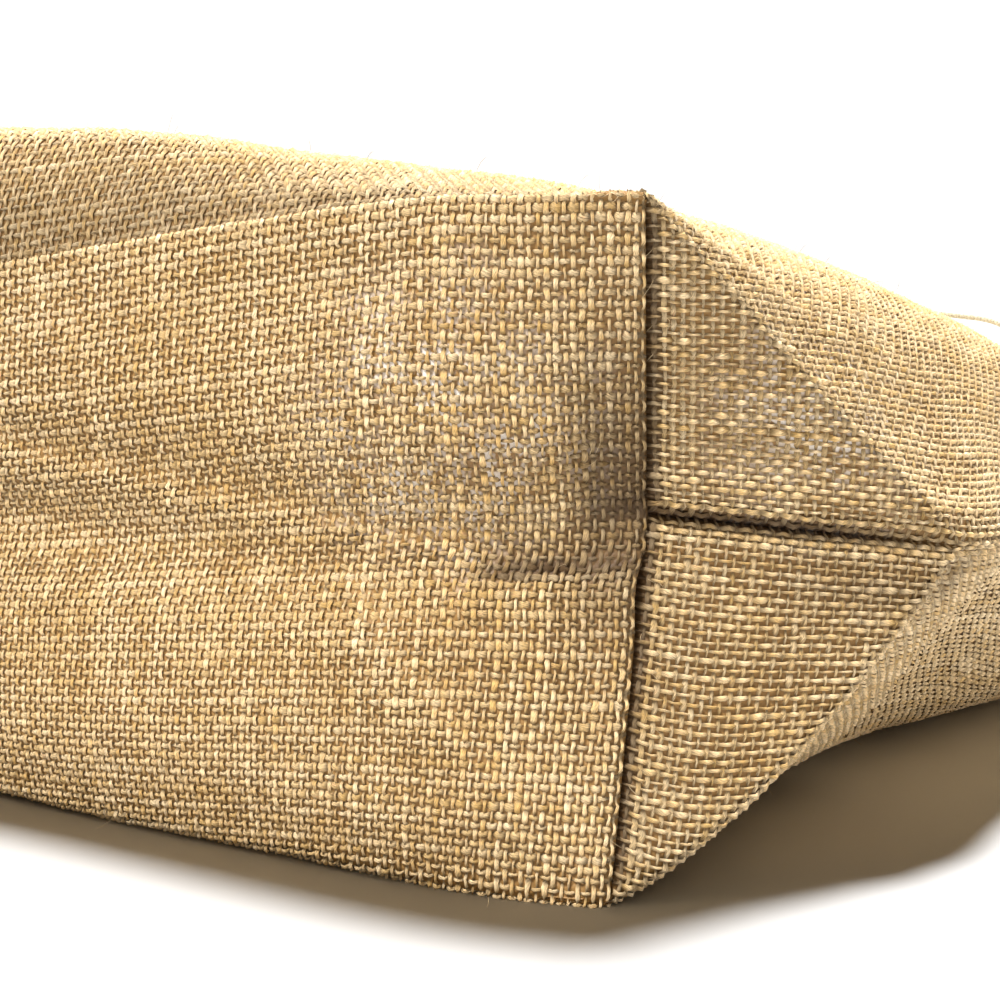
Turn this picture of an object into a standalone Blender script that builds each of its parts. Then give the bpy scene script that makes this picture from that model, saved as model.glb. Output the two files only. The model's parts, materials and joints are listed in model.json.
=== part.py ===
"""Jute tote bag lying on its back panel, with its boxed base standing up at the front.

One cloth makes the front, the base and the back.  It is closed by a seam down the middle of each
side, and a short seam across each bottom corner boxes it out.  Two webbing handles are sewn on at
the mouth.  Metres: X runs across the bag, +Y runs from the base to the mouth and +Z is up.  The
origin is on the floor, under the middle of the bag's box.

The cloth is laid out on a grid.  "around" is the distance from one side seam across a panel to the
other, and "up" is the distance from the base edge towards the mouth, both measured on the flat
cloth in base depths.
"""
import math
from collections import namedtuple

import bmesh
import bpy
from mathutils import Vector

COLLECTION_NAME = "jute_tote_bag"

# Cut sizes of the bag
BASE_DEPTH = 0.150
BASE_WIDTH = 0.300
PANEL_HEIGHT = 0.340
CLOTH_THICKNESS = 0.0020
HEM_THICKNESS = 0.0030
HEM_WIDTH = 0.030

# Handles
WEBBING_WIDTH = 0.026
WEBBING_THICKNESS = 0.0024
HANDLE_SPACING = 0.200      # between the middles of a handle's two tabs
TAB_LENGTH = 0.050
SEAT_GAP = 0.00055          # between a tab and the cloth that it is sewn to

# Grid of the cloth
CORNER_CELLS = 8            # from a side seam to the box corner, and up to the end of the corner fold
WIDTH_CELLS = 20            # across the base
PANEL_ROWS = 10             # from the end of the corner fold to the hem
TAB_STEPS = 3               # along a tab
HANDLE_STEPS = 18           # along half of a handle's free part

HALF_WIDTH = BASE_WIDTH / 2 / BASE_DEPTH
APEX = 0.5                  # the corner folds meet on the side seam this far up
AROUND = 2 * HALF_WIDTH + 2 * APEX
MOUTH = PANEL_HEIGHT / BASE_DEPTH
HEM_EDGE = MOUTH - HEM_WIDTH / BASE_DEPTH
HEM_STEP = 0.01
TAB_LIFT = (WEBBING_THICKNESS + SEAT_GAP) / BASE_DEPTH  # the back panel lies on its handle's tabs

# How far the bag leans to its right for each step towards the mouth
SKEW = 0.17

# Main lines of the lying bag in base depths.  "out" is measured outwards from the box corner,
# "back" towards the mouth and "high" from the floor.
Line = namedtuple("Line", "up out back high")

SIDE_SEAM = (
    Line(0.00, -0.017, 0.111, 0.536),
    Line(0.50, 0.300, 0.420, 0.469),
    Line(0.80, 0.320, 0.690, 0.440),
    Line(1.20, 0.330, 1.070, 0.360),
    Line(1.70, 0.360, 1.540, 0.250),
    Line(MOUTH, 0.405, 2.080, 0.130),
)
SHOULDER = (
    Line(0.00, 0.030, 0.013, 0.970),
    Line(0.25, 0.050, 0.250, 0.945),
    Line(0.50, 0.070, 0.490, 0.912),
    Line(0.80, 0.080, 0.770, 0.862),
    Line(1.20, 0.105, 1.150, 0.780),
    Line(1.70, 0.200, 1.620, 0.580),
    Line(MOUTH, 0.330, 2.140, 0.300),
)
CROWN = (
    Line(0.00, -HALF_WIDTH, 0.045, 1.010),
    Line(0.10, -HALF_WIDTH, 0.055, 1.108),
    Line(0.17, -HALF_WIDTH, 0.095, 1.126),
    Line(0.30, -HALF_WIDTH, 0.215, 1.105),
    Line(0.50, -HALF_WIDTH, 0.410, 1.070),
    Line(0.80, -HALF_WIDTH, 0.695, 1.005),
    Line(1.20, -HALF_WIDTH, 1.070, 0.895),
    Line(1.70, -HALF_WIDTH, 1.560, 0.690),
    Line(MOUTH, -HALF_WIDTH, 2.100, 0.400),
)
FOOT = (
    Line(0.00, 0.000, 0.000, 0.000),
    Line(0.25, 0.000, 0.220, 0.000),
    Line(0.50, -0.020, 0.460, 0.000),
    Line(0.80, 0.000, 0.740, 0.000),
    Line(1.20, 0.120, 1.110, 0.000),
    Line(1.70, 0.250, 1.600, 0.000),
    Line(1.90, 0.280, 1.800, TAB_LIFT),
    Line(MOUTH, 0.340, 2.160, TAB_LIFT),
)
KEEL = (
    Line(0.00, -HALF_WIDTH, 0.000, 0.000),
    Line(0.80, -HALF_WIDTH, 0.780, 0.000),
    Line(1.70, -HALF_WIDTH, 1.650, 0.000),
    Line(1.90, -HALF_WIDTH, 1.850, TAB_LIFT),
    Line(MOUTH, -HALF_WIDTH, 2.210, TAB_LIFT),
)
LOWER_FOLD_SAG = 0.060      # how far the lower corner fold hangs below a straight line
ROUNDING = {True: (0.42, 0.20), False: (0.16, 0.16)}    # above or below: (middle line, sides)
BASE_BOW = 0.065            # how far the base's long edges bow out between the corners
BOW_POWER = 8               # the bow comes on close to the corners
BOW_REACH = 0.30            # how far up the panels that bow fades

# Relief of the base by height, in base depths, positive towards the mouth
Relief = namedtuple("Relief", "high inwards")
BASE_RELIEF = (
    Relief(0.00, 0.000),
    Relief(0.14, -0.022),
    Relief(0.34, -0.014),
    Relief(0.46, 0.020),
    Relief(0.56, -0.004),
    Relief(0.66, -0.022),
    Relief(0.84, -0.010),
    Relief(1.00, 0.000),
)
DENT_REACH = 0.45           # how far the dent at the end of the side seam reaches into the base
PINCH_HIGH = 0.455          # short crease in the base next to the right side seam
PINCH_REACH = 0.24
PINCH_DEPTH = 0.035
PINCH_SPREAD = 0.050
PINCH_START = 0.050         # it is at its full depth this far from the base's side edge

# Right half of the front handle's free part in metres: "out" from the middle of the handle, "back"
# and "high" from the end of its tab.  "turn" is how far, in degrees, the webbing has turned from
# lying across the bag to lying along it, and "tilt" is how far its far edge is lifted.
HandlePoint = namedtuple("HandlePoint", "out back high turn tilt")
FRONT_HANDLE = (
    HandlePoint(0.1000, 0.0000, 0.0000, 0, 0),
    HandlePoint(0.1015, 0.0120, -0.0005, 6, 0),
    HandlePoint(0.1065, 0.0230, 0.0090, 28, 0),
    HandlePoint(0.1150, 0.0300, 0.0250, 58, 0),
    HandlePoint(0.1195, 0.0340, 0.0410, 78, 2),
    HandlePoint(0.1120, 0.0360, 0.0535, 88, 4),
    HandlePoint(0.0880, 0.0365, 0.0575, 90, 5),
    HandlePoint(0.0480, 0.0370, 0.0610, 90, 5),
    HandlePoint(0.0000, 0.0370, 0.0650, 90, 5),
)
KeyedPoint = namedtuple("KeyedPoint", "key out back high turn tilt")
BACK_HANDLE_LIMB = 0.035    # straight part after the tab
BACK_HANDLE_END = 0.085     # how far its round end reaches past the straight part

JUTE_COLOR = (0.56, 0.40, 0.19)
WEBBING_COLOR = (0.80, 0.74, 0.60)
CLOTH_ROUGHNESS = 0.9
WEBBING_ROUGHNESS = 0.8
HALVINGS = 24               # steps of the search for a point on a panel
ROUNDING_SAMPLES = 4        # on each side of a point, when a corner is rounded off
MERGE_DISTANCE = 0.00005


def smooth(rows, key, column):
    """Value of a table's column at a key, on a smooth curve through the rows."""
    keys = [row[0] for row in rows]
    values = [getattr(row, column) for row in rows]
    last = len(rows) - 1
    place = min(last - 1, max(0, sum(1 for k in keys if k <= key) - 1))
    slopes = []
    for i in (place, place + 1):
        low, high = max(0, i - 1), min(last, i + 1)
        slopes.append((values[high] - values[low]) / (keys[high] - keys[low]))
    span = keys[place + 1] - keys[place]
    f = min(1.0, max(0.0, (key - keys[place]) / span))
    start = (2 * f**3 - 3 * f**2 + 1) * values[place] + (f**3 - 2 * f**2 + f) * span * slopes[0]
    end = (3 * f**2 - 2 * f**3) * values[place + 1] + (f**3 - f**2) * span * slopes[1]
    return start + end


def line_point(rows, up):
    """Point of one of the main lines, on the right half of the bag."""
    out, back, high = (smooth(rows, up, column) for column in ("out", "back", "high"))
    return Vector((HALF_WIDTH + out, back, max(0.0, high)))


def mirrored(point):
    return Vector((-point.x, point.y, point.z))


def seam_point(up):
    """Point of the side seam: straight between the corner folds, curved after them."""
    if up < APEX:
        return line_point(SIDE_SEAM, 0).lerp(line_point(SIDE_SEAM, APEX), up / APEX)
    return line_point(SIDE_SEAM, up)


def fold_point(up, above):
    """Point of a corner fold, which runs from the box corner to the apex on the side seam."""
    corner = line_point(SHOULDER if above else FOOT, 0)
    fraction = up / APEX
    point = corner.lerp(line_point(SIDE_SEAM, APEX), fraction)
    if not above:
        point.z = max(0.0, point.z - LOWER_FOLD_SAG * math.sin(math.pi * fraction))
    return point


def along(points, distance):
    """Point at a distance along straight runs between the points."""
    for start, end in zip(points, points[1:]):
        length = (end - start).length
        if distance <= length:
            return start.lerp(end, distance / length if length else 0.0)
        distance -= length
    return points[-1].copy()


def rounded(points, fraction, rounding):
    """Point at a fraction of the whole length, with the corners rounded off."""
    total = sum((end - start).length for start, end in zip(points, points[1:]))
    distance = fraction * total
    reach = min(rounding, distance, total - distance)
    offsets = [reach * k / ROUNDING_SAMPLES for k in range(-ROUNDING_SAMPLES, ROUNDING_SAMPLES + 1)]
    samples = [along(points, distance + offset) for offset in offsets]
    return sum(samples, Vector()) / len(samples)


def panel_point(around, up, above):
    """Point of the front panel (above) or the back panel, in base depths and not yet skewed."""
    edge = max(0.0, APEX - up)
    side = min(around, AROUND - around)
    start = fold_point(up, above) if edge else seam_point(up)
    if side < edge:
        point = seam_point(up).lerp(start, side / edge)
        return point if around < AROUND / 2 else mirrored(point)
    bend = line_point(SHOULDER if above else FOOT, up)
    middle = line_point(CROWN if above else KEEL, up)
    route = [start, bend, middle, mirrored(bend), mirrored(start)]
    if up == 0:
        route = [start, middle, mirrored(start)]
    fraction = (around - edge) / (AROUND - 2 * edge)
    middle_rounding, side_rounding = ROUNDING[above]
    rounding = side_rounding + (middle_rounding - side_rounding) * (1 - abs(2 * fraction - 1))**2
    point = rounded(route, fraction, rounding)
    across = min(1.0, abs(point.x) / HALF_WIDTH)
    point.y -= BASE_BOW * (1 - across**BOW_POWER) * math.exp(-up / BOW_REACH)
    return point


def base_point(across, high):
    """Point of the base: across runs from -1 to 1 and high from 0 to 1."""
    around = APEX + HALF_WIDTH * (1 - across)
    point = panel_point(around, 0, False).lerp(panel_point(around, 0, True), high)
    inset = HALF_WIDTH * (1 - abs(across))
    near = max(0.0, 1 - inset / DENT_REACH) ** 2
    corner = line_point(SHOULDER if high > 0.5 else FOOT, 0)
    seam = seam_point(0).lerp(corner, abs(2 * high - 1))
    chord = line_point(FOOT, 0).lerp(line_point(SHOULDER, 0), high)
    shift = (seam - chord) * near
    point += shift if across > 0 else mirrored(shift)
    point.y += (1 - near) * smooth(BASE_RELIEF, high, "inwards")
    if across > 0:
        pinch = max(0.0, 1 - inset / PINCH_REACH) * min(1.0, inset / PINCH_START)
        point.y += PINCH_DEPTH * pinch * math.exp(-((point.z - PINCH_HIGH) / PINCH_SPREAD) ** 2)
    return point


def placed(point):
    """Skew the bag towards its right and turn base depths into metres."""
    return Vector((point.x + SKEW * point.y, point.y, point.z)) * BASE_DEPTH


def remove_everything():
    for item in list(bpy.data.objects):
        bpy.data.objects.remove(item)
    for group in list(bpy.data.collections):
        bpy.data.collections.remove(group)


def material(name, color, roughness):
    """Plain cloth finish."""
    finish = bpy.data.materials.new(name)
    finish.use_nodes = True
    shader = finish.node_tree.nodes["Principled BSDF"]
    shader.inputs["Base Color"].default_value = (*color, 1)
    shader.inputs["Roughness"].default_value = roughness
    shader.inputs["Metallic"].default_value = 0.0
    finish.diffuse_color = (*color, 1)
    return finish


def new_object(name, mesh, finish, collection):
    item = bpy.data.objects.new(name, mesh)
    item.data.materials.append(finish)
    collection.objects.link(item)
    return item


def add_patch(bm, rows, outward, fold=None):
    """Faces between rows of points; the cells that a corner fold crosses are split along it."""
    grid = [[bm.verts.new(point) for point in row] for row in rows]
    for r in range(len(grid) - 1):
        for c in range(len(grid[0]) - 1):
            a, b, d, e = grid[r][c], grid[r][c + 1], grid[r + 1][c + 1], grid[r + 1][c]
            lean = fold(r, c) if fold else 0
            if lean > 0:
                corners = [(a, b, d), (a, d, e)]
            elif lean < 0:
                corners = [(a, b, e), (b, d, e)]
            else:
                corners = [(a, b, d, e)]
            for loop in corners:
                bm.faces.new(loop if outward else tuple(reversed(loop)))
    return grid


def around_steps():
    """Grid lines around a panel: narrow cells at the sides, wide ones across the base width."""
    side = [APEX * k / CORNER_CELLS for k in range(CORNER_CELLS)]
    middle = [APEX + 2 * HALF_WIDTH * k / WIDTH_CELLS for k in range(WIDTH_CELLS + 1)]
    return side + middle + [AROUND - step for step in reversed(side)]


def up_steps():
    """Grid lines up a panel: narrow cells in the corner fold, and a short step at the hem."""
    corner = [APEX * k / CORNER_CELLS for k in range(CORNER_CELLS)]
    panel = [APEX + (HEM_EDGE - APEX) * k / PANEL_ROWS for k in range(PANEL_ROWS + 1)]
    return corner + panel + [HEM_EDGE + HEM_STEP, MOUTH]


def corner_fold(row, column):
    """Which way a corner fold crosses a cell of a panel: 0 where none does."""
    if row + column == CORNER_CELLS - 1:
        return -1
    if column - row == WIDTH_CELLS + CORNER_CELLS:
        return 1
    return 0


def make_body(collection):
    """One cloth for the front, the base and the back, open at the mouth."""
    bm = bmesh.new()
    weights = bm.verts.layers.deform.verify()
    arounds, ups = around_steps(), up_steps()
    for above in (True, False):
        rows = [[placed(panel_point(around, up, above)) for around in arounds] for up in ups]
        grid = add_patch(bm, rows, not above, corner_fold)
        for up, row in zip(ups, grid):
            for vertex in row:
                vertex[weights][0] = 1.0 if up > HEM_EDGE else 0.0
    highs = [k / (2 * CORNER_CELLS) for k in range(2 * CORNER_CELLS + 1)]
    widths = [1 - 2 * k / WIDTH_CELLS for k in range(WIDTH_CELLS + 1)]
    base = [[placed(base_point(across, high)) for across in widths] for high in highs]
    add_patch(bm, base, False)
    bmesh.ops.remove_doubles(bm, verts=bm.verts, dist=MERGE_DISTANCE)
    mesh = bpy.data.meshes.new("body")
    bm.to_mesh(mesh)
    bm.free()
    body = new_object("body", mesh, material("jute_cloth", JUTE_COLOR, CLOTH_ROUGHNESS), collection)
    body.vertex_groups.new(name="hem")
    shell = body.modifiers.new("cloth", "SOLIDIFY")
    shell.thickness = HEM_THICKNESS
    shell.offset = -1
    shell.vertex_group = "hem"
    shell.thickness_vertex_group = CLOTH_THICKNESS / HEM_THICKNESS
    return body


def cloth_point(out, up, above):
    """Point of a panel's outer face at a distance "out" from the panel's middle line, in metres."""
    near, far = AROUND / 2, 0.0
    for _ in range(HALVINGS):
        middle = (near + far) / 2
        if panel_point(middle, up, above).x * BASE_DEPTH < abs(out):
            near = middle
        else:
            far = middle
    point = panel_point(near, up, above)
    return placed(point if out > 0 else mirrored(point))


def tab_stations(above, side):
    """Right (1) or left (-1) tab, from its root to the mouth: (point, way across the webbing)."""
    root = MOUTH - TAB_LENGTH / BASE_DEPTH
    ups = [root + (MOUTH - root) * k / TAB_STEPS for k in range(TAB_STEPS + 1)]
    inner, outer = ([cloth_point(side * (HANDLE_SPACING + width) / 2, up, above) for up in ups]
                    for width in (-WEBBING_WIDTH, WEBBING_WIDTH))
    run = (inner[-1] + outer[-1] - inner[0] - outer[0]).normalized()
    across = (outer[-1] - inner[-1]).normalized()
    outwards = across.cross(run) * (side if above else -side)
    lift = outwards * (SEAT_GAP + WEBBING_THICKNESS / 2)
    return [((low + high) / 2 + lift, across) for low, high in zip(inner, outer)]


def whole_handle(above, free):
    """Stations from the right tab to the left one; "free" is the right half of the free part."""
    right, left = tab_stations(above, 1), tab_stations(above, -1)
    middle = (right[-1][0] + left[-1][0]) / 2
    right_half = [(middle + point, across) for point, across in free]
    left_half = [(middle + mirrored(point), mirrored(across)) for point, across in reversed(free[:-1])]
    return right + right_half + left_half + list(reversed(left))


def add_webbing(name, stations, collection):
    """Flat webbing swept along stations, square to the way that it runs."""
    bm = bmesh.new()
    rings = []
    for k, (point, across) in enumerate(stations):
        before, after = stations[max(0, k - 1)][0], stations[min(len(stations) - 1, k + 1)][0]
        run = (after - before).normalized()
        face = run.cross(across).normalized()
        side = face.cross(run) * WEBBING_WIDTH / 2
        lift = face * WEBBING_THICKNESS / 2
        rings.append([bm.verts.new(point + corner)
                      for corner in (side + lift, lift - side, -side - lift, side - lift)])
    for ring, following in zip(rings, rings[1:]):
        for k in range(4):
            bm.faces.new((ring[k], ring[k - 1], following[k - 1], following[k]))
    bm.faces.new(rings[0])
    bm.faces.new(rings[-1])
    bmesh.ops.recalc_face_normals(bm, faces=bm.faces)
    bmesh.ops.triangulate(bm, faces=bm.faces, quad_method="SHORT_EDGE")
    mesh = bpy.data.meshes.new(name)
    bm.to_mesh(mesh)
    bm.free()
    return new_object(name, mesh, material(name + "_webbing", WEBBING_COLOR, WEBBING_ROUGHNESS), collection)


def make_front_handle(collection):
    """Webbing that stands in a low arch over the mouth, between two tabs on the front panel."""
    free = []
    keyed = [KeyedPoint(k, *row) for k, row in enumerate(FRONT_HANDLE)]
    for step in range(1, HANDLE_STEPS + 1):
        key = step / HANDLE_STEPS * (len(FRONT_HANDLE) - 1)
        row = HandlePoint(*(smooth(keyed, key, column) for column in HandlePoint._fields))
        turn, tilt = math.radians(row.turn), math.radians(row.tilt)
        across = Vector((math.cos(turn), math.sin(turn) * math.cos(tilt), math.sin(turn) * math.sin(tilt)))
        free.append((Vector((row.out, row.back, row.high)), across))
    return add_webbing("handle_front", whole_handle(True, free), collection)


def make_back_handle(collection):
    """Webbing that lies flat on the floor beyond the mouth, between two tabs under the back panel."""
    free = []
    for step in range(HANDLE_STEPS + 1):
        angle = math.pi / 2 * step / HANDLE_STEPS
        x = HANDLE_SPACING / 2 * math.cos(angle)
        y = BACK_HANDLE_LIMB + BACK_HANDLE_END * math.sin(angle)
        free.append((Vector((x, y, 0)), Vector((math.cos(angle), math.sin(angle), 0))))
    return add_webbing("handle_back", whole_handle(False, free), collection)


def stand_on_origin(items, collection):
    """Hold all pieces by one empty, placed so that the origin is under the middle of their box."""
    points = [vertex.co for item in items for vertex in item.data.vertices]
    low = Vector([min(point[k] for point in points) for k in range(3)])
    high = Vector([max(point[k] for point in points) for k in range(3)])
    holder = bpy.data.objects.new("bag_origin", None)
    collection.objects.link(holder)
    holder.location = (-(low.x + high.x) / 2, -(low.y + high.y) / 2, -low.z)
    for item in items:
        item.parent = holder


def main():
    remove_everything()
    collection = bpy.data.collections.new(COLLECTION_NAME)
    bpy.context.scene.collection.children.link(collection)
    items = [make_body(collection), make_front_handle(collection), make_back_handle(collection)]
    stand_on_origin(items, collection)


main()
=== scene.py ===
"""Jute tote bag lying on its back panel, woven yarn by yarn.

The cloth is laid out on the same grid as the solids: "around" is the distance from the right side
seam across a panel to the left one, and "up" the distance from the base edge towards the mouth, in
base depths on the flat cloth.  The form is worked out once for every crossing of warp and weft; the
film behind the cloth, the yarns, the seams and the stray fibres all take their places from it.
"""
import json
import math
from collections import namedtuple

import bmesh
import bpy
import numpy as np
from bpy.props import FloatProperty, FloatVectorProperty, IntProperty, PointerProperty
from mathutils import Matrix, Vector

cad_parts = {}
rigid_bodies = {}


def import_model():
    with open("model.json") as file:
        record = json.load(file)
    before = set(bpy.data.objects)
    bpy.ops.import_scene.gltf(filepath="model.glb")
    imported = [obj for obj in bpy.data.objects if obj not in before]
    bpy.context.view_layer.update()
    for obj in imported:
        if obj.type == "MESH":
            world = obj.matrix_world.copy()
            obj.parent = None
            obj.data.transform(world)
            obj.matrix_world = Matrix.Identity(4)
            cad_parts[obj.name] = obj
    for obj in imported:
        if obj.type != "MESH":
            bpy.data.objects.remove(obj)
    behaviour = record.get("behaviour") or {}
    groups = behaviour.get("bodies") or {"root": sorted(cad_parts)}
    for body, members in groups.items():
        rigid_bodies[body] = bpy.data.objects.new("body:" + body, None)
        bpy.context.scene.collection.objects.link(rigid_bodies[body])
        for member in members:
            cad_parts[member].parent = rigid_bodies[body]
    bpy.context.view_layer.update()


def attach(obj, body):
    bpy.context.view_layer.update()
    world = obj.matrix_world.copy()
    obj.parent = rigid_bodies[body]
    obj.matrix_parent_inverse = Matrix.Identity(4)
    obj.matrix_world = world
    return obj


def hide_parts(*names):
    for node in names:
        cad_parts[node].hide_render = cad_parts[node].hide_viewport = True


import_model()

bl_info = {
    "name": "Jute Tote Bag",
    "version": (1, 0, 0),
    "blender": (4, 5, 0),
    "location": "3D View > Sidebar > Tote Bag",
    "description": "Weaves a slack jute tote bag around its packed solids",
    "category": "Object",
}

# Cut sizes: from HALF_WIDTH to MOUTH in base depths, the others in metres
BASE_DEPTH = 0.150
HALF_WIDTH = 1.0        # of the base
APEX = 0.5              # from a box corner to where its two folds meet on the side seam
AROUND = 3.0            # from one side seam to the other
MOUTH = 0.340 / BASE_DEPTH
HEM_WIDTH = 0.030
HANDLE_SPACING = 0.200
TAB_LENGTH = 0.050
SEAT_GAP = 0.00055
WEBBING_THICKNESS = 0.0024
TAB_LIFT = (WEBBING_THICKNESS + SEAT_GAP) / BASE_DEPTH      # the back panel lies on its handle's tabs
SKEW = 0.17
BASE_MIDDLE = (-0.03965, -0.22420)      # middle of the base's bottom edge, in the frame

# Threads: a sixth of the warps is on each side of the box corners, and the others run over the base
WARPS = 264
CORNER_WARPS = WARPS // 6
PANEL_WEFTS = 159
BASE_WEFTS = 70
HEM_WEFTS = 14
BACK_FLAT_FROM = 48     # from this weft on, the back panel's yarns are flat strips
WARP_PITCH = AROUND / WARPS
WEFT_PITCH = MOUTH / PANEL_WEFTS

# Main lines of the lying bag in base depths, as in the solids
Line = namedtuple("Line", "up out back high")
SIDE_SEAM = (
    Line(0.00, -0.017, 0.111, 0.536),
    Line(0.50, 0.300, 0.420, 0.469),
    Line(0.80, 0.320, 0.690, 0.440),
    Line(1.20, 0.330, 1.070, 0.360),
    Line(1.70, 0.360, 1.540, 0.250),
    Line(MOUTH, 0.405, 2.080, 0.130),
)
SHOULDER = (
    Line(0.00, 0.030, 0.013, 0.970),
    Line(0.25, 0.050, 0.250, 0.945),
    Line(0.50, 0.070, 0.490, 0.912),
    Line(0.80, 0.080, 0.770, 0.862),
    Line(1.20, 0.105, 1.150, 0.780),
    Line(1.70, 0.200, 1.620, 0.580),
    Line(MOUTH, 0.330, 2.140, 0.300),
)
CROWN = (
    Line(0.00, -HALF_WIDTH, 0.045, 1.010),
    Line(0.10, -HALF_WIDTH, 0.055, 1.108),
    Line(0.17, -HALF_WIDTH, 0.095, 1.126),
    Line(0.30, -HALF_WIDTH, 0.215, 1.105),
    Line(0.50, -HALF_WIDTH, 0.410, 1.070),
    Line(0.80, -HALF_WIDTH, 0.695, 1.005),
    Line(1.20, -HALF_WIDTH, 1.070, 0.895),
    Line(1.70, -HALF_WIDTH, 1.560, 0.690),
    Line(MOUTH, -HALF_WIDTH, 2.100, 0.400),
)
FOOT = (
    Line(0.00, 0.000, 0.000, 0.000),
    Line(0.25, 0.000, 0.220, 0.000),
    Line(0.50, -0.020, 0.460, 0.000),
    Line(0.80, 0.000, 0.740, 0.000),
    Line(1.20, 0.120, 1.110, 0.000),
    Line(1.70, 0.250, 1.600, 0.000),
    Line(1.90, 0.280, 1.800, TAB_LIFT),
    Line(MOUTH, 0.340, 2.160, TAB_LIFT),
)
KEEL = (
    Line(0.00, -HALF_WIDTH, 0.000, 0.000),
    Line(0.80, -HALF_WIDTH, 0.780, 0.000),
    Line(1.70, -HALF_WIDTH, 1.650, 0.000),
    Line(1.90, -HALF_WIDTH, 1.850, TAB_LIFT),
    Line(MOUTH, -HALF_WIDTH, 2.210, TAB_LIFT),
)
LOWER_FOLD_SAG = 0.060          # how far the lower corner fold hangs under a straight line
ROUNDING = {True: (0.42, 0.20), False: (0.16, 0.16)}    # of the front and back panel: middle, side
ROUNDING_SAMPLES = 6
BASE_BOW, BOW_POWER, BOW_REACH = 0.065, 8, 0.30     # of the base edge: how far, how square, how high

# How far the base is pushed in, by height, and how far from its ends it is drawn in to the side seams
Relief = namedtuple("Relief", "high inwards")
BASE_RELIEF = (
    Relief(0.00, 0.000),
    Relief(0.14, -0.022),
    Relief(0.34, -0.014),
    Relief(0.46, 0.020),
    Relief(0.56, -0.004),
    Relief(0.66, -0.022),
    Relief(0.84, -0.010),
    Relief(1.00, 0.000),
)
DENT_REACH = 0.45

# Creases in the base: sharp at the line and gentle above it, with a lip under it.  Ends are (across,
# high); sizes are in base depths.
Crease = namedtuple("Crease", "start end inwards spread lip")
BASE_CREASES = (
    Crease((1.000, 0.460), (0.790, 0.447), 0.012, 0.050, 0.011),
    Crease((0.800, 0.448), (0.766, 0.405), 0.010, 0.030, 0.007),
    Crease((0.800, 0.470), (-0.20, 0.600), 0.011, 0.055, 0.007),
    Crease((0.570, 0.440), (0.90, 0.100), 0.008, 0.050, 0.004),
)
CREASE_SHARPNESS = 0.018        # how soon over its line a crease deepens
CREASE_STRENGTH = 1.6           # makes up for what the two fades of a crease leave of its depth
CREASE_LIP = (0.6, 0.9)         # the lip's distance under the line and its reach, in spreads
CREASE_START = 0.02             # length over which a crease sets in
CREASE_END, CREASE_FADE = 1.04, 0.25    # shares of its length where it ends, and over which it fades

# Low swellings of the cloth in metres, and places of painted shade as shares, with place and reach in
# base depths
Swell = namedtuple("Swell", "height at reach")
CROWN_SWELLS = (Swell(0.0016, 1.35, 0.30), Swell(-0.0025, 0.62, 0.38))      # away from a box corner
CROWN_ROW = Swell(1.0, 0.15, 0.20)                                          # and up from the base edge
SIDE_SWELL = Swell(0.0012, 0.05, 0.025)         # of the front panel, along the side seam
SIDE_DIP = Swell(0.0011, 0.022, 0.018)          # between that swelling and the seam
CORNER_SWELL = Swell(0.0007, 0.03, 0.02)        # of the base, along the corner seam
CORNER_DIP = Swell(0.0016, 0.07, 0.05)          # behind it, at half height
HALF_HEIGHT = Swell(1.0, 0.42, 0.20)            # along the cloth from the base's upper edge
CORNER_PAINTED_SHADE = Swell(1.5, 0.0, 0.0085)           # in the corner seams
SIDE_PAINTED_SHADE = Swell(1.3, 0.0, 0.0045)             # in the valley of the side seam
EDGE_PAINTED_SHADE = Swell(0.34, 0.0, 0.12)              # on the front panel by the base's upper edge
UNDER_FOLD_PAINTED_SHADE = Swell(0.33, 0.07, 0.05)           # on the back panel under the lower corner fold
DIP_PAINTED_SHADE = Swell(0.66, 0.0, 0.035)              # on the base behind the corner seam
FOLD_PAINTED_SHADE, FOLD_ABOVE, FOLD_BELOW = 0.60, 0.045, 0.008      # over and under the first crease

# Smooth unevenness: height and size of its waves in metres, and their seed
Waves = namedtuple("Waves", "height size seed")
PANEL_WAVES = {True: (Waves(0.0006, 0.075, 3), Waves(0.00025, 0.02, 8)),
               False: (Waves(0.0005, 0.075, 3), Waves(0.00025, 0.02, 8))}
BASE_WAVES = (Waves(0.0009, 0.06, 5), Waves(0.00025, 0.018, 9))
WAVES_CROSSING = 14

# Painted shade by the first crease: share, and place and reach over the crease's line and
# away from the corner seam, in base depths
Shade = namedtuple("Shade", "share high high_reach inset inset_reach")
CREASE_PAINTED_SHADES = (
    Shade(0.18, 0.004, 0.012, 0.140, 0.080),
    Shade(0.20, 0.003, 0.008, 0.150, 0.090),
    Shade(0.26, 0.004, 0.012, 0.045, 0.050),
    Shade(0.28, 0.077, 0.016, 0.030, 0.035),
)

# Seams: how far the cloth is turned in there, in metres
CORNER_SEAM = (0.0026, 0.0022)      # a panel at a corner seam: sideways, backwards
BASE_SEAM = 0.0008                  # the base there, both ways
SIDE_SEAM_DEPTH = (0.0020, 0.0010)  # a side seam: in its valley, on its ridge
SIDE_REACH, CORNER_REACH, BASE_REACH = 0.005, 0.0065, 0.0045    # of those three, in base depths
SEAM_TURNING = 0.004                # the film of the base's side edges
HEM_DEPTH = 0.00152                 # the turned-in cloth of the hem, behind the rest
EDGE_ROUNDING = (10, 3)             # of the base's top and bottom edges, in half weft pitches
LAST_WEFTS_DOWN = (0.0035, 0.0050)  # the base's last wefts lie this much lower, in base depths

# Layers, in metres
THREAD_DEPTH = 0.00074      # the threads' middles lie this far inside the cloth's outer face
FILM_DEPTH = 0.00036        # the film lies this far behind the threads' middles
FILM_THICKNESS = 0.0005

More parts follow.
